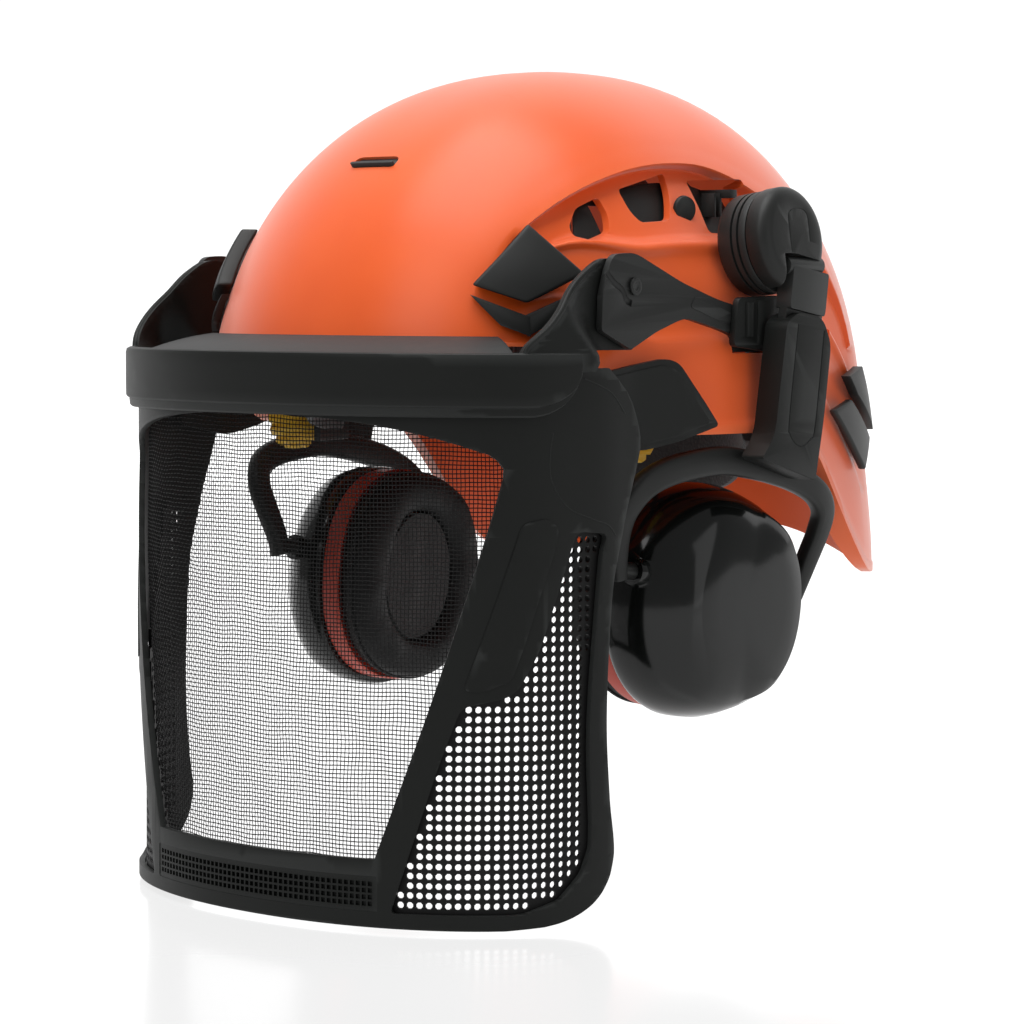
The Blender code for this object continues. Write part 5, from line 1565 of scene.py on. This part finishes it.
def make_headband():
    band = band_sheet([k * 3.0 for k in range(120)], band_rows, (BAND_WALL, 0.0), True)
    piece("headband_visual", band, BLACK, "helmet", ["headband"], bevel=0.5)
    brow = band_sheet(spaced(-63.0, 63.0, 60), brow_rows, (-0.9, -5.0), puff=2.2)
    nape = band_sheet(spaced(140.0, 220.0, 40), nape_rows, (-0.9, -5.4), puff=1.8)
    for name, pad_mesh, node in (("brow_pad", brow, "sweatband"), ("nape_pad", nape, "nape_cradle")):
        (pad,) = piece(name, pad_mesh, FOAM, "helmet", [node], bevel=0.4, angle=50.0)


# Name, azimuth of one end, and place in the stack where the straps cross
CROWN_STRAPS = (
    ("crown_strap_side", 90.0, 0), ("crown_strap_front_left", 34.0, 1),
    ("crown_strap_front_right", -34.0, 2),
)


def make_crown_straps():
    for name, azimuth, level in CROWN_STRAPS:
        turn = math.radians(azimuth)
        side = Vector((math.cos(turn), math.sin(turn), 0.0))

        def point(out, k, across):
            climb = math.radians(2.0 * k)
            heading = azimuth if k >= 0 else azimuth + 180.0
            x, y = band_point(heading, 0.2 + out)
            base = band_bottom(heading) + BAND_HEIGHT + 2.7
            share = abs(math.sin(climb)) ** 0.92
            lift = math.cos(climb) ** 0.92 if abs(k) < 45 else 0.0
            z = base + (CROWN_Z + level * 2.3 + out - base) * lift
            return Vector((x * share, blend(BAND_CENTRE_Y, y, share), z)) + side * across

        strap = layered((1.4, 0.0), range(-45, 46), (-9.0, -4.5, 0.0, 4.5, 9.0), point)
        piece(name + "_visual", strap, WEBBING, "helmet", [name], bevel=0.3)


def make_wheel():
    points = []
    for angle in turns(240):
        radius = WHEEL_RADIUS - 1.9 * max(0.0, math.cos(13.0 * angle)) ** 1.3
        points.append((WHEEL.y + radius * math.cos(angle), WHEEL.z + radius * math.sin(angle)))
    outer = WHEEL.x + 3.3
    dish = pin(outer - 1.2, outer + 1.0, WHEEL, 8.4, 48, 9.4)
    piece("side_wheel_visual", plate_x([points], WHEEL.x - 3.3, outer), YELLOW, "side_wheel_{s}",
          ["side_wheel_{s}"], cuts=[dish], bevel=0.5, sides=2)
    outs = (BAND_WALL + GAP + 2.8, BAND_WALL + GAP)
    mount = band_sheet(spaced(56.0, 72.0, 12), mount_rows, outs)
    piece("wheel_mount_visual", mount, BLACK, "helmet", ["wheel_mount_{s}"], bevel=0.5, sides=2)


# ---------------------------------------------------------------- build

for build in (
    make_shell, make_frame, make_perforated_sheets, make_screen, make_brow_band, make_brim_seal,
    make_temple_wing, make_link, make_clips, make_plugs_and_shutters, make_adaptor, make_hub, make_arm,
    make_sleeve, make_yoke, make_cup, make_pads, make_headband, make_crown_straps, make_wheel,
):
    build()


# ---------------------------------------------------------------- stage, light and camera


FLOOR_GLOW = 0.78
WALL_GLOW = 1.0
# Stage and lights are in metres. The sweep's profile is (distance behind, height over the floor), and
# the wall stands far enough back that a camera behind the object is still in front of it.
STAGE_REACH = 15.0
SWEEP = (
    (-STAGE_REACH, 0.0), (3.0, 0.0), (4.0, 0.15), (4.75, 0.6), (5.25, 1.375), (5.5, 2.5),
    (5.625, 10.0),
)
WORLD_STRENGTH = 0.3
LIGHT_TARGET = (0.0, 0.0, -0.02)
# Name, position, size and power of each light
LIGHTS = (
    ("overhead", (0.0, -0.25, 1.5), (1.3, 1.3), 23.5),
    ("key", (0.1, -1.5, 1.1), (1.0, 1.0), 7.5),
    ("left_fill", (1.8, 0.1, 0.5), (0.9, 1.4), 3.0),
)
CAMERA_AZIMUTH = 40.0
CAMERA_PITCH = 3.67
CAMERA_ROLL = 0.34
CAMERA_DISTANCE = 1.405
CAMERA_TARGET = Vector((0.0, -7.1, -53.7)) * MM
CAMERA_LENS = 113.24
WHITE = (1.0, 1.0, 1.0, 1.0)


def make_stage():
    """Pale floor that curves up into a backdrop behind the object, as one sheet."""
    bm = bmesh.new()
    turn = Matrix.Rotation(math.radians(CAMERA_AZIMUTH), 3, "Z")
    grid = []
    for y, z in SWEEP:
        height = Vector((0.0, 0.0, z + FLOOR_Z * MM))
        ends = [turn @ Vector((x, y, 0.0)) + height for x in (-STAGE_REACH, STAGE_REACH)]
        grid.append([bm.verts.new(end) for end in ends])
    for k, ((a, b), (c, d)) in enumerate(zip(grid, grid[1:])):
        bm.faces.new((a, b, d, c)).material_index = min(k, 1)
    mesh = bpy.data.meshes.new("studio_sweep")
    bm.to_mesh(mesh)
    bm.free()
    mesh.shade_smooth()
    sweep_object = bpy.data.objects.new("studio_sweep", mesh)
    in_scene(sweep_object)
    for name, glow in (("studio_floor", FLOOR_GLOW), ("studio_wall", WALL_GLOW)):
        m = Nodes(name)
        clouds = m.noise(400.0, 2.0)
        tint = m.ramp(clouds, (0.3, (0.1, 0.1, 0.1)), (0.7, (0.12, 0.12, 0.12)))
        m.finish(tint, 0.16, None, Specular_IOR_Level=0.5, Emission_Color=WHITE, Emission_Strength=glow)
        mesh.materials.append(m.material)


def add_area(name, position, size, power):
    light = bpy.data.lights.new(name, "AREA")
    light.shape = "RECTANGLE"
    light.size, light.size_y = size
    light.energy = power
    obj = bpy.data.objects.new(name, light)
    obj.location = position
    aim = Vector(LIGHT_TARGET) - Vector(position)
    obj.rotation_euler = aim.to_track_quat("-Z", "Y").to_euler()
    in_scene(obj)


def make_light():
    bpy.context.scene.view_settings.view_transform = "Standard"
    world = bpy.data.worlds.new("studio")
    bpy.context.scene.world = world
    world.use_nodes = True
    background = world.node_tree.nodes["Background"]
    background.inputs["Color"].default_value = WHITE
    background.inputs["Strength"].default_value = WORLD_STRENGTH
    for name, position, size, power in LIGHTS:
        add_area(name, position, size, power)


def make_camera():
    azimuth, pitch = math.radians(CAMERA_AZIMUTH), math.radians(CAMERA_PITCH)
    level = Vector((math.sin(azimuth), -math.cos(azimuth), 0.0)) * math.cos(pitch)
    back = level + Vector((0.0, 0.0, math.sin(pitch)))
    camera = bpy.data.cameras.new("camera")
    camera.lens = CAMERA_LENS
    camera.sensor_width = 36.0
    camera.clip_start = 0.05
    obj = bpy.data.objects.new("camera", camera)
    turn = back.to_track_quat("Z", "Y").to_matrix() @ Matrix.Rotation(math.radians(CAMERA_ROLL), 3, "Z")
    obj.matrix_world = Matrix.Translation(CAMERA_TARGET + back * CAMERA_DISTANCE) @ turn.to_4x4()
    in_scene(obj)
    bpy.context.scene.camera = obj


make_stage()
make_light()
make_camera()
